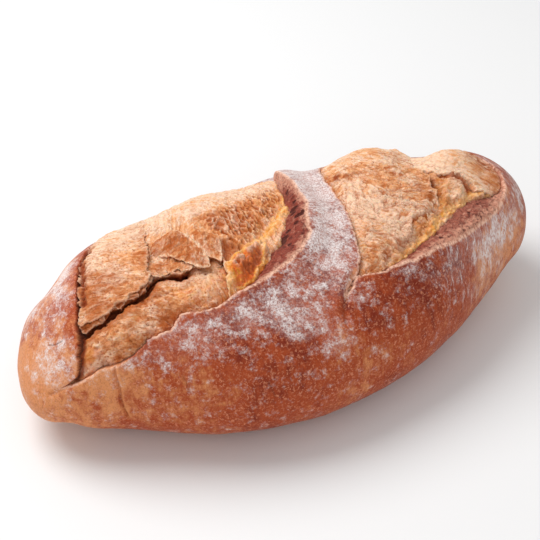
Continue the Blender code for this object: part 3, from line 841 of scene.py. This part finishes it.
def dome_relief(at, look):
    """The dome: its leaf over a hollow painted brown as its shade, its small tear, and the strand at its
    foot.
    """
    x, roll, places = at.x, at.roll, at.places
    gap = line_gap(SECOND_STRANDS, places)
    leaf_gap = line_gap(DOME_LEAF, places)
    twist = at.stray(0.0028, 23)
    hollow = fall((at.within(DOME_HOLLOW) + 0.0004 * twist) / 0.0009) * fall((-23 - roll) / 4)
    tear = at.near(DOME_TEAR, 0.0024) * fall((at.stray(0.004, 95, 2) + 0.35) / 0.30)
    strand = rise(gap, 0.0024)
    browned = np.maximum.reduce([at.near(line, 0.005) for line in DOME_BROWN])
    browned *= fall((at.stray(0.0034, 97, 4) + 0.10) / 0.45)
    look["gold"] = strand * fall((twist + 0.8) / 0.5)
    look["ember"] = -1.1 * strand
    # Painted shade in the hollow under the leaf and in the small tear.
    look["shade_and_dark_marks"] = np.maximum(0.70 * hollow * rise(leaf_gap, 0.0045), tear * fall((0.3 - twist) / 0.3))
    look["deep_shade_and_dark"] = 0.8 * tear * fall((0.05 - twist) / 0.25)
    # Painted shade: browner on its lower side and in the hollow under the leaf; browner towards its right
    # end and along its browned lines.
    look["browning_and_shade"] = 0.06 + 0.22 * fall((-22 - roll) / 12) + 1.3 * hollow * rise(leaf_gap, 0.01)
    look["browning_and_shade"] += 0.15 * fall((x - 0.066) / 0.012) + 0.35 * at.rough + 0.5 * browned
    # The leaf's free edge is painted pale as a highlight.
    look["pale"] = 0.25 + 1.1 * at.near(DOME_PALE, 0.008) + 0.5 * (1 - hollow) * rise(leaf_gap, 0.003)
    look["pale"] += 0.9 * at.near(DOME_RIM_PALE, 0.005)
    relief = swellings(DOME_SWELLS, places) - 0.0040 * rise(gap, 0.007)
    relief -= 0.0018 * rise(at.side("second_rim"), 0.005) * fall((0.06 - x) / 0.012)
    relief += 0.0006 * (1 - hollow) * rise(leaf_gap, 0.0022) - 0.0026 * hollow * rise(leaf_gap, 0.0062)
    return relief - 0.0014 * tear * fall(twist + 0.6) + strand * (0.0006 + 0.0014 * twist)


def bump_relief(at, look):
    """The smaller bump at the right end, toasted along its far side."""
    toasted = at.near(BUMP_TOAST, 0.0024)
    look["browning_and_shade"] = -0.22 + 0.30 * at.rough + 0.74 * fall((at.x - 0.105) / 0.014)
    look["shade_and_dark_marks"] = toasted * fall((at.stray(0.003, 29) + 0.25) / 0.4)
    look["deep_shade_and_dark"] = 0.55 * look["shade_and_dark_marks"]
    look["pale"] = 0.62 + 0.4 * (1 - fall((at.x - 0.1) / 0.01))
    return swellings(BUMP_SWELLS, at.places)


RELIEFS = {
    "lower": lower_relief,
    "left": left_relief,
    "ledge": ledge_relief,
    "ear": ear_relief,
    "hollow": hollow_relief,
    "dome": dome_relief,
    "bump": bump_relief,
}


def crumb_relief(kind, x, roll, places):
    """Height of the crumb, and what its colours are mixed by."""
    first = kind in FIRST_CRUMB
    at = Spots(x, roll, places, first)
    along, across = at.along, at.across
    look = {name: np.zeros(len(x)) for name in COLOUR_SHARES}
    drifting = 1.3 * at.stray(0.006, 51)
    large, own, lean, _ = scales(along + drifting, across + drifting, 9.5, 3.6, 11)
    small, small_own, small_lean, _ = scales(along - drifting, across + drifting, 4.0, 1.7, 31)
    flake = 0.45 * (own - 0.5) + lean - 0.30 * (1 - fall(large / 0.14))
    flake += 0.45 * small_lean - 0.20 * (1 - fall(small / 0.3))
    flakiness = FLAKINESS[kind] * (1 - 0.8 * fall((roll - 8) / 26))
    uneven = wandering(np.stack([along * 0.55, across, places[:, 2] / MM], axis=1) * MM, 0.0034, 9)
    relief = swellings(BODY_SWELLS, places) + 0.0007 * at.rough + flakiness * (MM * flake + 0.0006 * uneven)
    relief += RELIEFS[kind](at, look)

    # It dips to the foot of the crust's wall, with painted shade there.
    side, values = rim_side(LAYERS["first_rim" if first else "second_rim"], x, roll, places)
    foot = 0.5 * values[:, 3] + 0.0002
    relief -= 1.2 * np.maximum(foot - side, 0) + 0.006 * fall(-side / 0.002)
    if kind in ("lower", "hollow"):
        relief -= 0.0016 * rise(side, 0.003)
    if kind == "lower":
        # Painted shade in the crack at the left end.
        split = fall((-0.117 - x) / 0.004) * fall((roll + 54) / 7) * fall((0.0036 - side) / 0.0014)
        look["deep_shade_and_dark"] = np.maximum(look["deep_shade_and_dark"], split)
    # Painted shade along the rim, weaker at the left end of the near rim.
    shut = 1 - 0.8 * fall((-0.094 - x) / 0.006) * fall((-44 - roll) / 4)
    look["deep_shade_and_dark"] = np.maximum(look["deep_shade_and_dark"], (0.6 if first else 0.3) * shut * rise(side, 0.0012))

    # Fine grit, with painted shade in its dips.
    grit = at.stray(0.0016, 19, 2)
    relief += 0.0003 * GRAININESS[kind] * grit
    look["shade_and_dark_marks"] = np.maximum(look["shade_and_dark_marks"], 0.60 * GRAININESS[kind] * fall((-0.20 - grit) / 0.35))
    # Painted shade in the gaps between flakes and in low places.
    gaps = np.maximum(0.9 * (1 - fall(large / 0.15)), 0.6 * (1 - fall(small / 0.28)))
    look["cave_shade"] = np.maximum(gaps * np.sqrt(flakiness), 0.8 * flakiness * fall((-0.10 - uneven) / 0.35))
    look["leaf"] = 0.5 * own + 0.5 * small_own
    look["pores"] = PORES[kind] + 0 * x
    look["flow"] = np.stack([along, across, relief / MM], axis=1)
    return relief, look


def torn_sheet(name, edge_name, kind, spacing, fold_depth, undercut, lift=None):
    """A sheet of crumb on the loaf whose torn edge is folded down under it, and then closed below."""
    outline = LAYERS[edge_name]
    margin = fold_depth * 1.05
    round_step = np.degrees(spacing / 0.072)
    x_range = (outline[:, 0].min() - margin, outline[:, 0].max() + margin)
    roll_margin = np.degrees(margin / 0.06)
    roll_range = (outline[:, 1].min() - roll_margin, outline[:, 1].max() + roll_margin)
    columns = int((x_range[1] - x_range[0]) / spacing)
    rows = int((roll_range[1] - roll_range[0]) / round_step)
    sheet = unrolled_grid(name, x_range, roll_range, columns, rows)
    x, roll = unrolled(sheet.data)
    side = rim_side(outline, x, roll, body_points(x, roll))[0]
    select_faces(sheet.data, face_values(sheet.data, side) < -margin)
    bpy.ops.mesh.delete(type="FACE")
    bpy.ops.object.mode_set(mode="OBJECT")

    x, roll = unrolled(sheet.data)
    places = body_points(x, roll)
    side, edge = rim_side(outline, x, roll, places)
    folded = side < 0
    past = np.where(folded, -side, 0)
    x = np.where(folded, edge[:, 0], x)
    roll = np.where(folded, edge[:, 1], roll)
    top = body_points(x, roll)
    inward = (top - places) / np.maximum(past, 1e-9)[:, None]
    relief, look = crumb_relief(kind, x, roll, top)
    if lift is not None:
        relief = relief + lift(top, np.maximum(side, 0), look)
    curl = 0.0004 * rise(np.maximum(side, 0), 0.0015)
    frayed = 0.0007 * wandering(places, 0.0016, 77, 2) * fall(past / 0.0012)
    points = top + (relief + curl - past * 1.1)[:, None] * outward(x, roll)
    points += (undercut * fall(past / fold_depth) + frayed)[:, None] * inward
    set_on_loaf(sheet.data, points)
    # The edge folded under is painted dark as the shade beneath it, more faintly on the bump.
    shaded = 0.35 if kind == "bump" else 1.0
    look["deep_shade_and_dark"] = np.maximum(look["deep_shade_and_dark"], shaded * fall((past - 0.0020) / 0.0028))
    look["shade_and_dark_marks"] = np.maximum(look["shade_and_dark_marks"], 0.8 * shaded * fall((past - 0.0006) / 0.0014))
    # A painted highlight along the top of the torn edge.
    look["edge"] = rise(side + 0.0002, 0.0008)
    for key, values in look.items():
        write_value(sheet.data, key, values)
    bpy.context.tool_settings.mesh_select_mode = (False, True, False)
    bpy.ops.object.mode_set(mode="EDIT")
    bpy.ops.mesh.select_all(action="DESELECT")
    bpy.ops.mesh.select_non_manifold()
    bpy.ops.mesh.extrude_region_move()
    bpy.ops.mesh.merge(type="CENTER")
    bpy.ops.object.mode_set(mode="OBJECT")
    return sheet


# ---------------------------------------------------------------- materials


class Value:
    """A node's output, which sums and products can be written with."""

    def __init__(self, shading, socket):
        self.shading, self.socket = shading, socket

    def __add__(self, other):
        return self.shading.math("ADD", self, other)

    def __sub__(self, other):
        return self.shading.math("SUBTRACT", self, other)

    def __rsub__(self, other):
        return self.shading.math("SUBTRACT", other, self)

    def __mul__(self, other):
        return self.shading.math("MULTIPLY", self, other)


class Shading:
    """Builds one material's nodes."""

    def __init__(self, name):
        self.material = bpy.data.materials.new(name)
        self.material.use_nodes = True
        self.tree = self.material.node_tree
        self.shader = self.tree.nodes["Principled BSDF"]
        self.surface({"Metallic": 0.0})

    def surface(self, values):
        for name, value in values.items():
            self.plug(self.shader.inputs[name], value)

    def node(self, kind, **settings):
        made = self.tree.nodes.new(kind)
        for key, value in settings.items():
            setattr(made, key, value)
        return made

    def plug(self, socket, value):
        if isinstance(value, Value):
            self.tree.links.new(value.socket, socket)
        else:
            socket.default_value = value

    def attribute(self, name, output="Fac"):
        return Value(self, self.node("ShaderNodeAttribute", attribute_name=name).outputs[output])

    def object_mm(self):
        texture = self.node("ShaderNodeTexCoord")
        scaled = self.node("ShaderNodeVectorMath", operation="SCALE")
        self.tree.links.new(texture.outputs["Object"], scaled.inputs[0])
        scaled.inputs["Scale"].default_value = 1 / MM
        return Value(self, scaled.outputs[0])

    def stretched(self, vector, scale):
        mapping = self.node("ShaderNodeMapping")
        self.plug(mapping.inputs["Vector"], vector)
        mapping.inputs["Scale"].default_value = scale
        return Value(self, mapping.outputs[0])

    def math(self, operation, a, b=0.0):
        made = self.node("ShaderNodeMath", operation=operation)
        self.plug(made.inputs[0], a)
        self.plug(made.inputs[1], b)
        return Value(self, made.outputs[0])

    def noise(self, vector, scale, detail=3.0, roughness=0.5, distortion=0.0):
        made = self.node("ShaderNodeTexNoise")
        self.plug(made.inputs["Vector"], vector)
        made.inputs["Scale"].default_value = scale
        made.inputs["Detail"].default_value = detail
        made.inputs["Roughness"].default_value = roughness
        made.inputs["Distortion"].default_value = distortion
        return Value(self, made.outputs["Fac"])

    def cells(self, vector, scale):
        made = self.node("ShaderNodeTexVoronoi", feature="F1")
        self.plug(made.inputs["Vector"], vector)
        made.inputs["Scale"].default_value = scale
        return Value(self, made.outputs["Distance"])

    def step(self, value, low, high, out_low=0.0, out_high=1.0):
        """A smooth step, from out_low where the value is at low to out_high where it is at high."""
        made = self.node("ShaderNodeMapRange", interpolation_type="SMOOTHSTEP")
        for socket, number in zip(made.inputs, (value, low, high, out_low, out_high)):
            self.plug(socket, number)
        return Value(self, made.outputs["Result"])

    def mix(self, share, a, b):
        made = self.node("ShaderNodeMix", data_type="RGBA", clamp_factor=True)
        self.plug(made.inputs[0], share)
        for socket, paint in ((made.inputs[6], a), (made.inputs[7], b)):
            self.plug(socket, paint if isinstance(paint, Value) else (*paint, 1.0))
        return Value(self, made.outputs[2])

    def bump(self, height, distance, strength, under=None):
        made = self.node("ShaderNodeBump")
        made.inputs["Strength"].default_value = strength
        made.inputs["Distance"].default_value = distance
        self.plug(made.inputs["Height"], height)
        if under is not None:
            self.plug(made.inputs["Normal"], under)
        return Value(self, made.outputs["Normal"])


def crust_material():
    look = bpy.context.scene.loaf_colours
    make = Shading("baked_crust")
    place = make.object_mm()
    streaked = make.attribute("drift", "Vector")
    blotches = make.noise(place, 0.045, 4.0, 0.55)
    patches = make.noise(place, 0.20, 5.0, 0.62)
    grain = make.noise(place, 0.78, 3.0, 0.66, 0.6)
    fine = make.noise(place, 1.1, 2.0, 0.6)
    mottle = make.noise(place, 0.42, 4.0, 0.62, 0.8)
    upright = make.noise(make.stretched(place, (0.42, 0.05, 0.05)), 1.0, 3.0, 0.6)
    clumps = make.noise(streaked, 0.17, 4.0, 0.58)
    dust = make.noise(streaked, 0.62, 3.0, 0.60)
    grains = make.noise(streaked, 1.30, 3.0, 0.62)
    side, depth, rosy, flour = (make.attribute(name) for name in ("rim", "depth", "rosy", "flour"))

    # The baked skin.
    toast = make.attribute("toast") + (blotches - 0.5) * 1.5 + (patches - 0.5) * 1.7 + (upright - 0.5) * 0.8
    crust = make.mix(make.step(toast, 0.0, 0.75), look.crust_pale, look.crust_brown)
    crust = make.mix(make.step(toast, 0.75, 1.55), crust, look.crust_dark)
    flecks = make.step(grain, 0.52, 0.63) * make.step(patches, 0.40, 0.60, 0.30, 0.62)
    crust = make.mix(flecks, crust, look.crust_fleck)
    crust = make.mix(make.step(fine, 0.48, 0.36) * 0.28, crust, look.crust_dark)
    crust = make.mix(make.attribute("stretched") * 0.65, crust, look.crust_pale)

    # The inner walls of the cuts, with painted shade in their pits and pinholes.
    pinhole = make.step(make.cells(place, 0.80), 0.34, 0.16) * make.step(dust, 0.42, 0.56)
    wall_tone = side + (patches - 0.5) * 16.0 + (dust - 0.5) * 6.0 - rosy * 4.5
    wall = make.mix(make.step(wall_tone, 0.4, 4.2), look.wall_rose, look.wall_dark)
    wall = make.mix(rosy * 0.55, wall, look.wall_rose)
    wall = make.mix(make.step(mottle, 0.52, 0.66) * 0.50, wall, look.wall_rose)
    wall = make.mix(rosy * make.step(mottle, 0.54, 0.64) * 0.60, wall, look.rim_pale)
    wall = make.mix(make.step(mottle, 0.47, 0.34) * 0.75, wall, look.pit_and_crack_shade)
    wall = make.mix(pinhole * 0.75, wall, look.wall_dark)
    wall = make.mix(make.step(make.attribute("pit_shade"), 0.30, 0.55) * 0.95, wall, look.pit_and_crack_shade)
    inner = make.step(side, 0.2, 1.0)
    shade = make.mix(inner, crust, wall)

    # The flour: a cloud where it is thick, single grains where it is thin, and a veil under both.
    cover = flour * 1.30 + (clumps - 0.5) * 2.9 + (dust - 0.5) * 1.5
    cloud = make.step(cover, 0.12, 1.26) * make.step(grains, 0.36, 0.58, 0.40, 0.98)
    bar = 0.74 - make.step(cover, 0.0, 1.4) * 0.28
    lying = make.step(grains - bar, -0.05, 0.08, 0.0, 0.60)
    veil = make.step(flour, 0.12, 0.60, 0.0, 0.34) * make.step(grains, 0.36, 0.56, 0.25, 1.0)
    veil = veil * make.step(dust, 0.36, 0.58, 0.40, 1.0)
    pores = make.step(make.noise(streaked, 0.80, 3.0, 0.6), 0.55, 0.65) * 0.75
    pores = pores * make.step(flour, 0.55, 1.0, 1.0, 0.5)
    dusted = make.math("MAXIMUM", make.math("MAXIMUM", cloud, lying), veil)
    dusted = dusted * (1.0 - pores) * make.step(side, 0.4, -0.6)
    shade = make.mix(dusted, shade, look.flour)

    # The thin pale rim, and painted shade in the cracks.
    near_rim = make.step(make.math("ABSOLUTE", side), 1.5, 0.3)
    rim_edge = near_rim * make.step(depth, 3.0, 1.0, 0.0, 0.90) * make.step(dust, 0.36, 0.58, 0.25, 1.0)
    shade = make.mix(rim_edge * make.attribute("bare_rim"), shade, look.rim_pale)
    shade = make.mix(make.attribute("crack") * 0.8, shade, look.pit_and_crack_shade)

    hollows = pinhole * 2.0 - (mottle - 0.5) * 6.0
    height = grain + fine * 0.5 + dusted * 0.4 - hollows * inner
    make.surface({
        "Base Color": shade,
        "Roughness": make.step(dusted, 0.0, 0.6, 0.50, 0.92),
        "Specular IOR Level": 0.14,
        "Sheen Weight": 0.06,
        "Sheen Roughness": 0.30,
        "Sheen Tint": (1.0, 0.84, 0.74, 1.0),
        "Normal": make.bump(height, 0.0004, 0.8, make.bump(patches, 0.0010, 0.7)),
    })
    return make.material


def crumb_material():
    look = bpy.context.scene.loaf_colours
    make = Shading("torn_crumb")
    place = make.object_mm()
    lie = make.attribute("flow", "Vector")
    streaks = make.noise(make.stretched(lie, (0.18, 0.46, 0.36)), 1.0, 4.0, 0.6, 0.5)
    threads = make.noise(make.stretched(lie, (0.42, 0.95, 0.8)), 1.0, 4.0, 0.68)
    winding = make.noise(make.stretched(lie, (0.10, 0.34, 0.25)), 1.0, 3.0, 0.55, 0.5)
    blotches = make.noise(place, 0.075, 3.0)
    pores = make.noise(place, 0.9, 3.0, 0.6)

    tone = streaks * 0.70 + threads * 0.40 + make.attribute("leaf") * 0.16 + (blotches - 0.5) * 0.9
    tone = tone + make.attribute("pale") * 0.20 + (pores - 0.5) * 0.45
    crumb = make.mix(make.step(tone, 0.38, 0.62), look.crumb_tan, look.crumb_mid)
    crumb = make.mix(make.step(tone, 0.56, 0.82), crumb, look.crumb_pale_and_highlight)
    # Painted shade in thin crevices.
    crevice = make.step(make.math("ABSOLUTE", winding - 0.5), 0.026, 0.004)
    crevice = crevice * make.step(blotches, 0.36, 0.60, 0.10, 0.45)
    crumb = make.mix(crevice, crumb, look.crumb_shade_and_dark_marks)
    # Browning, and painted shade where the pieces mark it.
    browning_and_shade = make.attribute("browning_and_shade") - (streaks - 0.5) * 1.2
    crumb = make.mix(make.step(browning_and_shade, 0.10, 1.0), crumb, look.crumb_browning_and_shade)

    # Painted shade in the hollows between the flakes, in the pieces' own hollows and marks, and in small
    # pores.
    cave_shade = make.attribute("cave_shade") * make.step(threads, 0.58, 0.40, 0.25, 0.85)
    crumb = make.mix(cave_shade, crumb, look.crumb_shade_and_dark_marks)
    crumb = make.mix(make.attribute("shade_and_dark_marks") * 0.85, crumb, look.crumb_shade_and_dark_marks)
    small = make.step(make.cells(place, 0.56), 0.36, 0.16) * make.step(blotches, 0.36, 0.54, 0.3, 1.0)
    small = small * make.attribute("pores")
    crumb = make.mix(small * 0.75, crumb, look.crumb_shade_and_dark_marks)

    # Fresh golden tears, toned by noise: the orange stands partly for their painted shade and partly for the
    # lump's own colour, and the straw is partly a painted highlight.
    tears = make.noise(place, 0.24, 4.0, 0.58, 0.6) - make.attribute("ember") * 0.16
    fresh = make.mix(make.step(tears, 0.34, 0.54), look.crumb_orange, look.crumb_gold)
    fresh = make.mix(make.step(tears, 0.50, 0.68), fresh, look.crumb_straw)
    crumb = make.mix(make.attribute("gold") * make.step(pores, 0.32, 0.50, 0.70, 1.0), crumb, fresh)
    # A painted highlight along the top of the torn edges.
    crumb = make.mix(make.attribute("edge") * 0.45, crumb, look.crumb_pale_and_highlight)
    # Painted shade in cracks, gaps and under folded edges, with some dark marks of the crumb's own.
    crumb = make.mix(make.attribute("deep_shade_and_dark") * 0.9, crumb, look.crumb_deep_shade_and_dark)

    height = threads + pores * 0.4 - small * 0.8 - crevice * 0.7
    make.surface({
        "Base Color": crumb,
        "Roughness": 0.80,
        "Specular IOR Level": 0.03,
        "Subsurface Weight": 0.50,
        "Subsurface Radius": (1.0, 0.62, 0.42),
        "Subsurface Scale": 0.0010,
        "Normal": make.bump(height, 0.0005, 0.55, make.bump(streaks, 0.0018, 0.70)),
    })
    return make.material


def crumb_look():
    return bpy.data.materials.get("torn_crumb") or crumb_material()


# ---------------------------------------------------------------- the pieces


def draw_together(mesh, length):
    """Draws the grid's stations together towards the ends, and its rolls towards the top."""
    points = read_points(mesh)
    points[:, 0] = length / 2 * np.sin(points[:, 0] * math.pi / 2)
    turn = np.clip(points[:, 1] / MM / 180, -1, 1)
    points[:, 1] = 180 * MM * (turn - 0.16 * np.sin(math.pi * turn) / math.pi * 2)
    write_points(mesh, points)


def refine_near_cuts(mesh, reach):
    """Subdivides the faces that lie within reach of a rim, a crack or a crease."""
    x, roll = unrolled(mesh)
    places = body_points(x, roll)
    gaps = [nearest(LAYERS[name], places)[0] for name in RIMS]
    gaps += [line_gap(line, places) + 0.002 for _, _, line in CRACKS + CREASES]
    select_faces(mesh, face_values(mesh, -np.minimum.reduce(gaps)) > -reach)
    bpy.ops.mesh.subdivide(number_cuts=1)
    bpy.ops.object.mode_set(mode="OBJECT")


def shape_crust(mesh, x, roll, places):
    """Raises the lips, sinks the cuts, and gives the distance from a rim, the walls' depth and pits."""
    relief = swellings(CRUST_SWELLS, places) + folds(CREASES, places) + folds(CRACKS, places)
    relief += CRUST_WAVES[0] * wandering(places, CRUST_WAVES[1], 0)
    lean = np.zeros_like(places)
    rim = np.full(len(x), -30.0 * MM)
    depth = np.zeros(len(x))
    pits = swellings(WALL_PITS, places)
    for name, crumbly in RIMS.items():
        side, values = rim_side(LAYERS[name], x, roll, places)
        gap = np.abs(side)
        lip, wall, curl = values[:, 2], values[:, 3], values[:, 4]
        drop = (lip + WALL_DEPTH) * fall(gap / wall)
        uneven = crumbly * wandering(places, 0.0022, 17) * fall(gap / 0.002) + pits
        relief = np.where(side > 0, relief + lip - drop + uneven, relief + lip * rise(gap, LIP_SPREAD))
        lean += (curl * rise(gap, LIP_SPREAD / 2))[:, None] * np.array([-1.0, 0.0, 0.0])
        rim = np.where(gap < np.abs(rim), side, rim)
        depth = np.where(side > 0, drop, depth)
    relief += swellings(BODY_SWELLS, places)
    set_on_loaf(mesh, places + relief[:, None] * outward(x, roll) + lean)
    return rim, depth, pits


def crust_values(x, roll, places, rim, depth, pits):
    """What the crust's colours are mixed by."""
    flour = FLOUR_HAZE + swellings(FLOUR_PATCHES, places)
    flour *= fall((places[:, 2] - 0.004) / 0.03)
    toast = 0.95 - 0.50 * fall((-0.112 - x) / 0.035) - 0.30 * fall((-0.02 - x) / 0.095)
    toast -= 0.40 * fall((x - 0.045) / 0.085) - 0.25 * fall((roll + 75) / 25) * (1 - fall((-0.1 - x) / 0.02))
    toast += swellings(TOAST_PATCHES, places) - 0.3 * fall((np.abs(roll) - 110) / 40)
    ear_tip = fall((x - 0.01) / 0.008) * (0.25 * fall((roll - 6) / 12) + 0.90 * fall((roll - 18) / 10))
    left_end = fall((-0.094 - x) / 0.004) * fall((roll + 57) / 3)
    # Painted shade in the cracks, in the first crease and, at the left end, in the gap beside the rim.
    crack = np.clip(-folds(CRACKS, places) / 0.0009, 0, 1)
    crack = np.maximum(crack, np.clip(-folds(CREASES[:1], places) / 0.0024, 0, 1) ** 3 * 0.6)
    drift = 1 - 0.55 * fall((x - 0.05) / 0.04)
    return {
        "rim": rim / MM,
        "depth": depth / MM,
        # Painted shade in the walls' pits.
        "pit_shade": np.clip(-pits / 0.001, 0, 1),
        "flour": np.clip(flour, 0, 1),
        "toast": toast,
        "rosy": np.clip(ear_tip * (x < 0.032) + 0.50 * fall((x - 0.045) / 0.03), 0, 1),
        "bare_rim": (1 - left_end) * (1 - fall((roll - 40) / 8)),
        "crack": np.maximum(crack, left_end * fall((depth - 0.0006) / 0.001)),
        "stretched": np.maximum.reduce([rise(line_gap(line, places), 0.0011) for line in STRETCHED]),
        "drift": places / MM * np.stack([np.ones(len(x)), drift, drift], axis=1),
    }


class LOAF_OT_crust(bpy.types.Operator):
    """Add the crust: the loaf's skin, with its lips, its inner walls and the hollows under the crumb."""

    bl_idname = "mesh.loaf_crust"
    bl_label = "Crust"

    def execute(self, context):
        crust = unrolled_grid("crust", (-1, 1), (-180, 180), 200, 176)
        mesh = crust.data
        draw_together(mesh, context.scene.loaf_form.length)
        for reach in (0.011, 0.0042):
            refine_near_cuts(mesh, reach)
        x, roll = unrolled(mesh)
        places = body_points(x, roll)
        rim, depth, pits = shape_crust(mesh, x, roll, places)
        for name, values in crust_values(x, roll, places, rim, depth, pits).items():
            write_value(mesh, name, values)
        deselect_all()
        context.view_layer.objects.active = crust
        bpy.ops.object.mode_set(mode="EDIT")
        bpy.ops.mesh.select_all(action="SELECT")
        bpy.ops.mesh.remove_doubles(threshold=1e-6)
        finish_piece(crust, crust_material())
        return {"FINISHED"}


class LOAF_OT_first_crumb(bpy.types.Operator):
    """Add the first cut's crumb: the lower roll and the two torn layers that lie over it."""

    bl_idname = "mesh.loaf_first_crumb"
    bl_label = "Crumb of the first cut"

    def execute(self, context):
        for sheet in FIRST_SHEETS:
            finish_piece(torn_sheet(*sheet), crumb_look())
        return {"FINISHED"}


class LOAF_OT_second_crumb(bpy.types.Operator):
    """Add the second cut's crumb: its hollow, the dome over it and the smaller bump."""

    bl_idname = "mesh.loaf_second_crumb"
    bl_label = "Crumb of the second cut"

    def execute(self, context):
        for sheet in SECOND_SHEETS:
            finish_piece(torn_sheet(*sheet), crumb_look())
        return {"FINISHED"}


class LOAF_OT_flakes(bpy.types.Operator):
    """Add the thin flakes that curl up off the torn layers."""

    bl_idname = "mesh.loaf_flakes"
    bl_label = "Flakes"

    def execute(self, context):
        for number, (outline, root, height, browning) in enumerate(FLAKES, 1):
            LAYERS["flake"] = ragged(smooth_line(outline, closed=True, steps=8), 0.0005, 0.002, 40 + number)
            held = smooth_line(root)

            def lift(top, side, look, held=held, height=height, browning=browning):
                away = nearest(held, top)[0]
                pleated = np.stack([top[:, 0] * 0.35 - top[:, 1] * 0.2, top[:, 1], top[:, 2]], axis=1)
                pleats = wandering(pleated, 0.003, 91, 2)
                look["browning_and_shade"] = browning * fall(side / 0.002) * (1 + 0.9 * pleats)
                # Painted shade in the pleats' dips.
                look["shade_and_dark_marks"] = 0.45 * fall(side / 0.001) * fall((-0.12 - pleats) / 0.25)
                look["gold"] = look["gold"] * 0
                puffed = 0.001 * fall(side / 0.0045) + 0.0006 * pleats * fall(side / 0.001)
                return -0.001 + (height + 0.001) * fall(away / 0.009) + puffed

            sheet = torn_sheet(f"flake_{number}", "flake", "ear", 0.00035, 0.0016, 0.0012, lift)
            finish_piece(sheet, crumb_look())
        return {"FINISHED"}


class LOAF_OT_studio(bpy.types.Operator):
    """Add the floor, the lights and the camera."""

    bl_idname = "scene.loaf_studio"
    bl_label = "Studio"

    def execute(self, context):
        scene, studio = context.scene, context.scene.loaf_studio
        deselect_all()
        bpy.ops.mesh.primitive_plane_add(size=6)
        floor = context.object
        floor.name = "floor"
        paint = Shading("floor")
        paint.surface({"Base Color": (*studio.floor, 1.0), "Roughness": 0.9})
        floor.data.materials.append(paint.material)

        self.add_light("key", (-0.35, 0.45, 0.95), 0.8, studio.key_power)
        self.add_light("fill", (-0.5, -1.1, 0.8), 1.2, studio.fill_power)
        world = bpy.data.worlds.new("room")
        world.use_nodes = True
        world.node_tree.nodes["Background"].inputs["Color"].default_value = (1, 1, 1, 1)
        world.node_tree.nodes["Background"].inputs["Strength"].default_value = studio.sky
        scene.world = world
        scene.view_settings.view_transform = "Standard"
        self.add_camera(scene)
        return {"FINISHED"}

    def add_light(self, name, place, size, power):
        lamp = bpy.data.lights.new(name, "AREA")
        lamp.shape = "DISK"
        lamp.size = size
        lamp.energy = power
        holder = bpy.data.objects.new(name, lamp)
        holder.location = place
        holder.rotation_euler = (Vector(place) - Vector(LIT_POINT)).to_track_quat("Z", "Y").to_euler()
        bpy.context.collection.objects.link(holder)

    def add_camera(self, scene):
        turn, tilt = CAMERA_TURN, CAMERA_TILT
        back = Vector((math.sin(turn) * math.cos(tilt), -math.cos(turn) * math.cos(tilt), math.sin(tilt)))
        right = Vector((math.cos(turn), math.sin(turn), 0))
        up = back.cross(right)
        aim = Vector((*CENTRE_OFFSET, AIM_HEIGHT)) + right * AIM_SHIFT[0] + up * AIM_SHIFT[1]
        lens = bpy.data.cameras.new("camera")
        lens.sensor_width = 36
        lens.lens = CAMERA_LENS
        camera = bpy.data.objects.new("camera", lens)
        stand = Matrix((right, up, back)).transposed().to_4x4()
        stand.translation = aim + back * CAMERA_DISTANCE
        camera.matrix_world = stand
        bpy.context.collection.objects.link(camera)
        scene.camera = camera


class LOAF_PT_panel(bpy.types.Panel):
    """Lists the loaf's pieces."""

    bl_idname = "LOAF_PT_panel"
    bl_label = "Country Loaf"
    bl_space_type = "VIEW_3D"
    bl_region_type = "UI"
    bl_category = "Loaf"

    def draw(self, context):
        for name in GROUPS:
            group = getattr(context.scene, name)
            box = self.layout.box()
            for key in group.__annotations__:
                box.prop(group, key)
        for operator in PIECES:
            self.layout.operator(operator.bl_idname)


GROUPS = {"loaf_form": LoafForm, "loaf_colours": LoafColours, "loaf_studio": LoafStudio}
PIECES = (LOAF_OT_crust, LOAF_OT_first_crumb, LOAF_OT_second_crumb, LOAF_OT_flakes, LOAF_OT_studio)
CLASSES = (*GROUPS.values(), *PIECES, LOAF_PT_panel)


def register():
    for cls in CLASSES:
        bpy.utils.register_class(cls)
    for name, group in GROUPS.items():
        setattr(bpy.types.Scene, name, PointerProperty(type=group))


def unregister():
    for name in GROUPS:
        delattr(bpy.types.Scene, name)
    for cls in reversed(CLASSES):
        bpy.utils.unregister_class(cls)


def draw_outlines():
    """Works out the rims and the torn edges, which the pieces share."""
    LAYERS["first_rim"] = rim_line(FIRST_CUT_RIM)
    LAYERS["second_rim"] = rim_line(SECOND_CUT_RIM)
    LAYERS["lower"] = LAYERS["first_rim"][:, :2]
    LAYERS["hollow"] = LAYERS["second_rim"][:, :2]
    for seed, (name, rows) in enumerate(TORN_EDGES.items(), 3):
        line = ragged(smooth_line(rows, closed=True, steps=12), 0.002, 0.0042, seed)
        LAYERS[name] = ragged(line, 0.0011, 0.0015, seed + 5)


def main():
    register()
    draw_outlines()
    bpy.ops.mesh.loaf_crust()
    bpy.ops.mesh.loaf_first_crumb()
    bpy.ops.mesh.loaf_second_crumb()
    bpy.ops.mesh.loaf_flakes()
    bpy.ops.scene.loaf_studio()


if __name__ == "__main__":
    main()
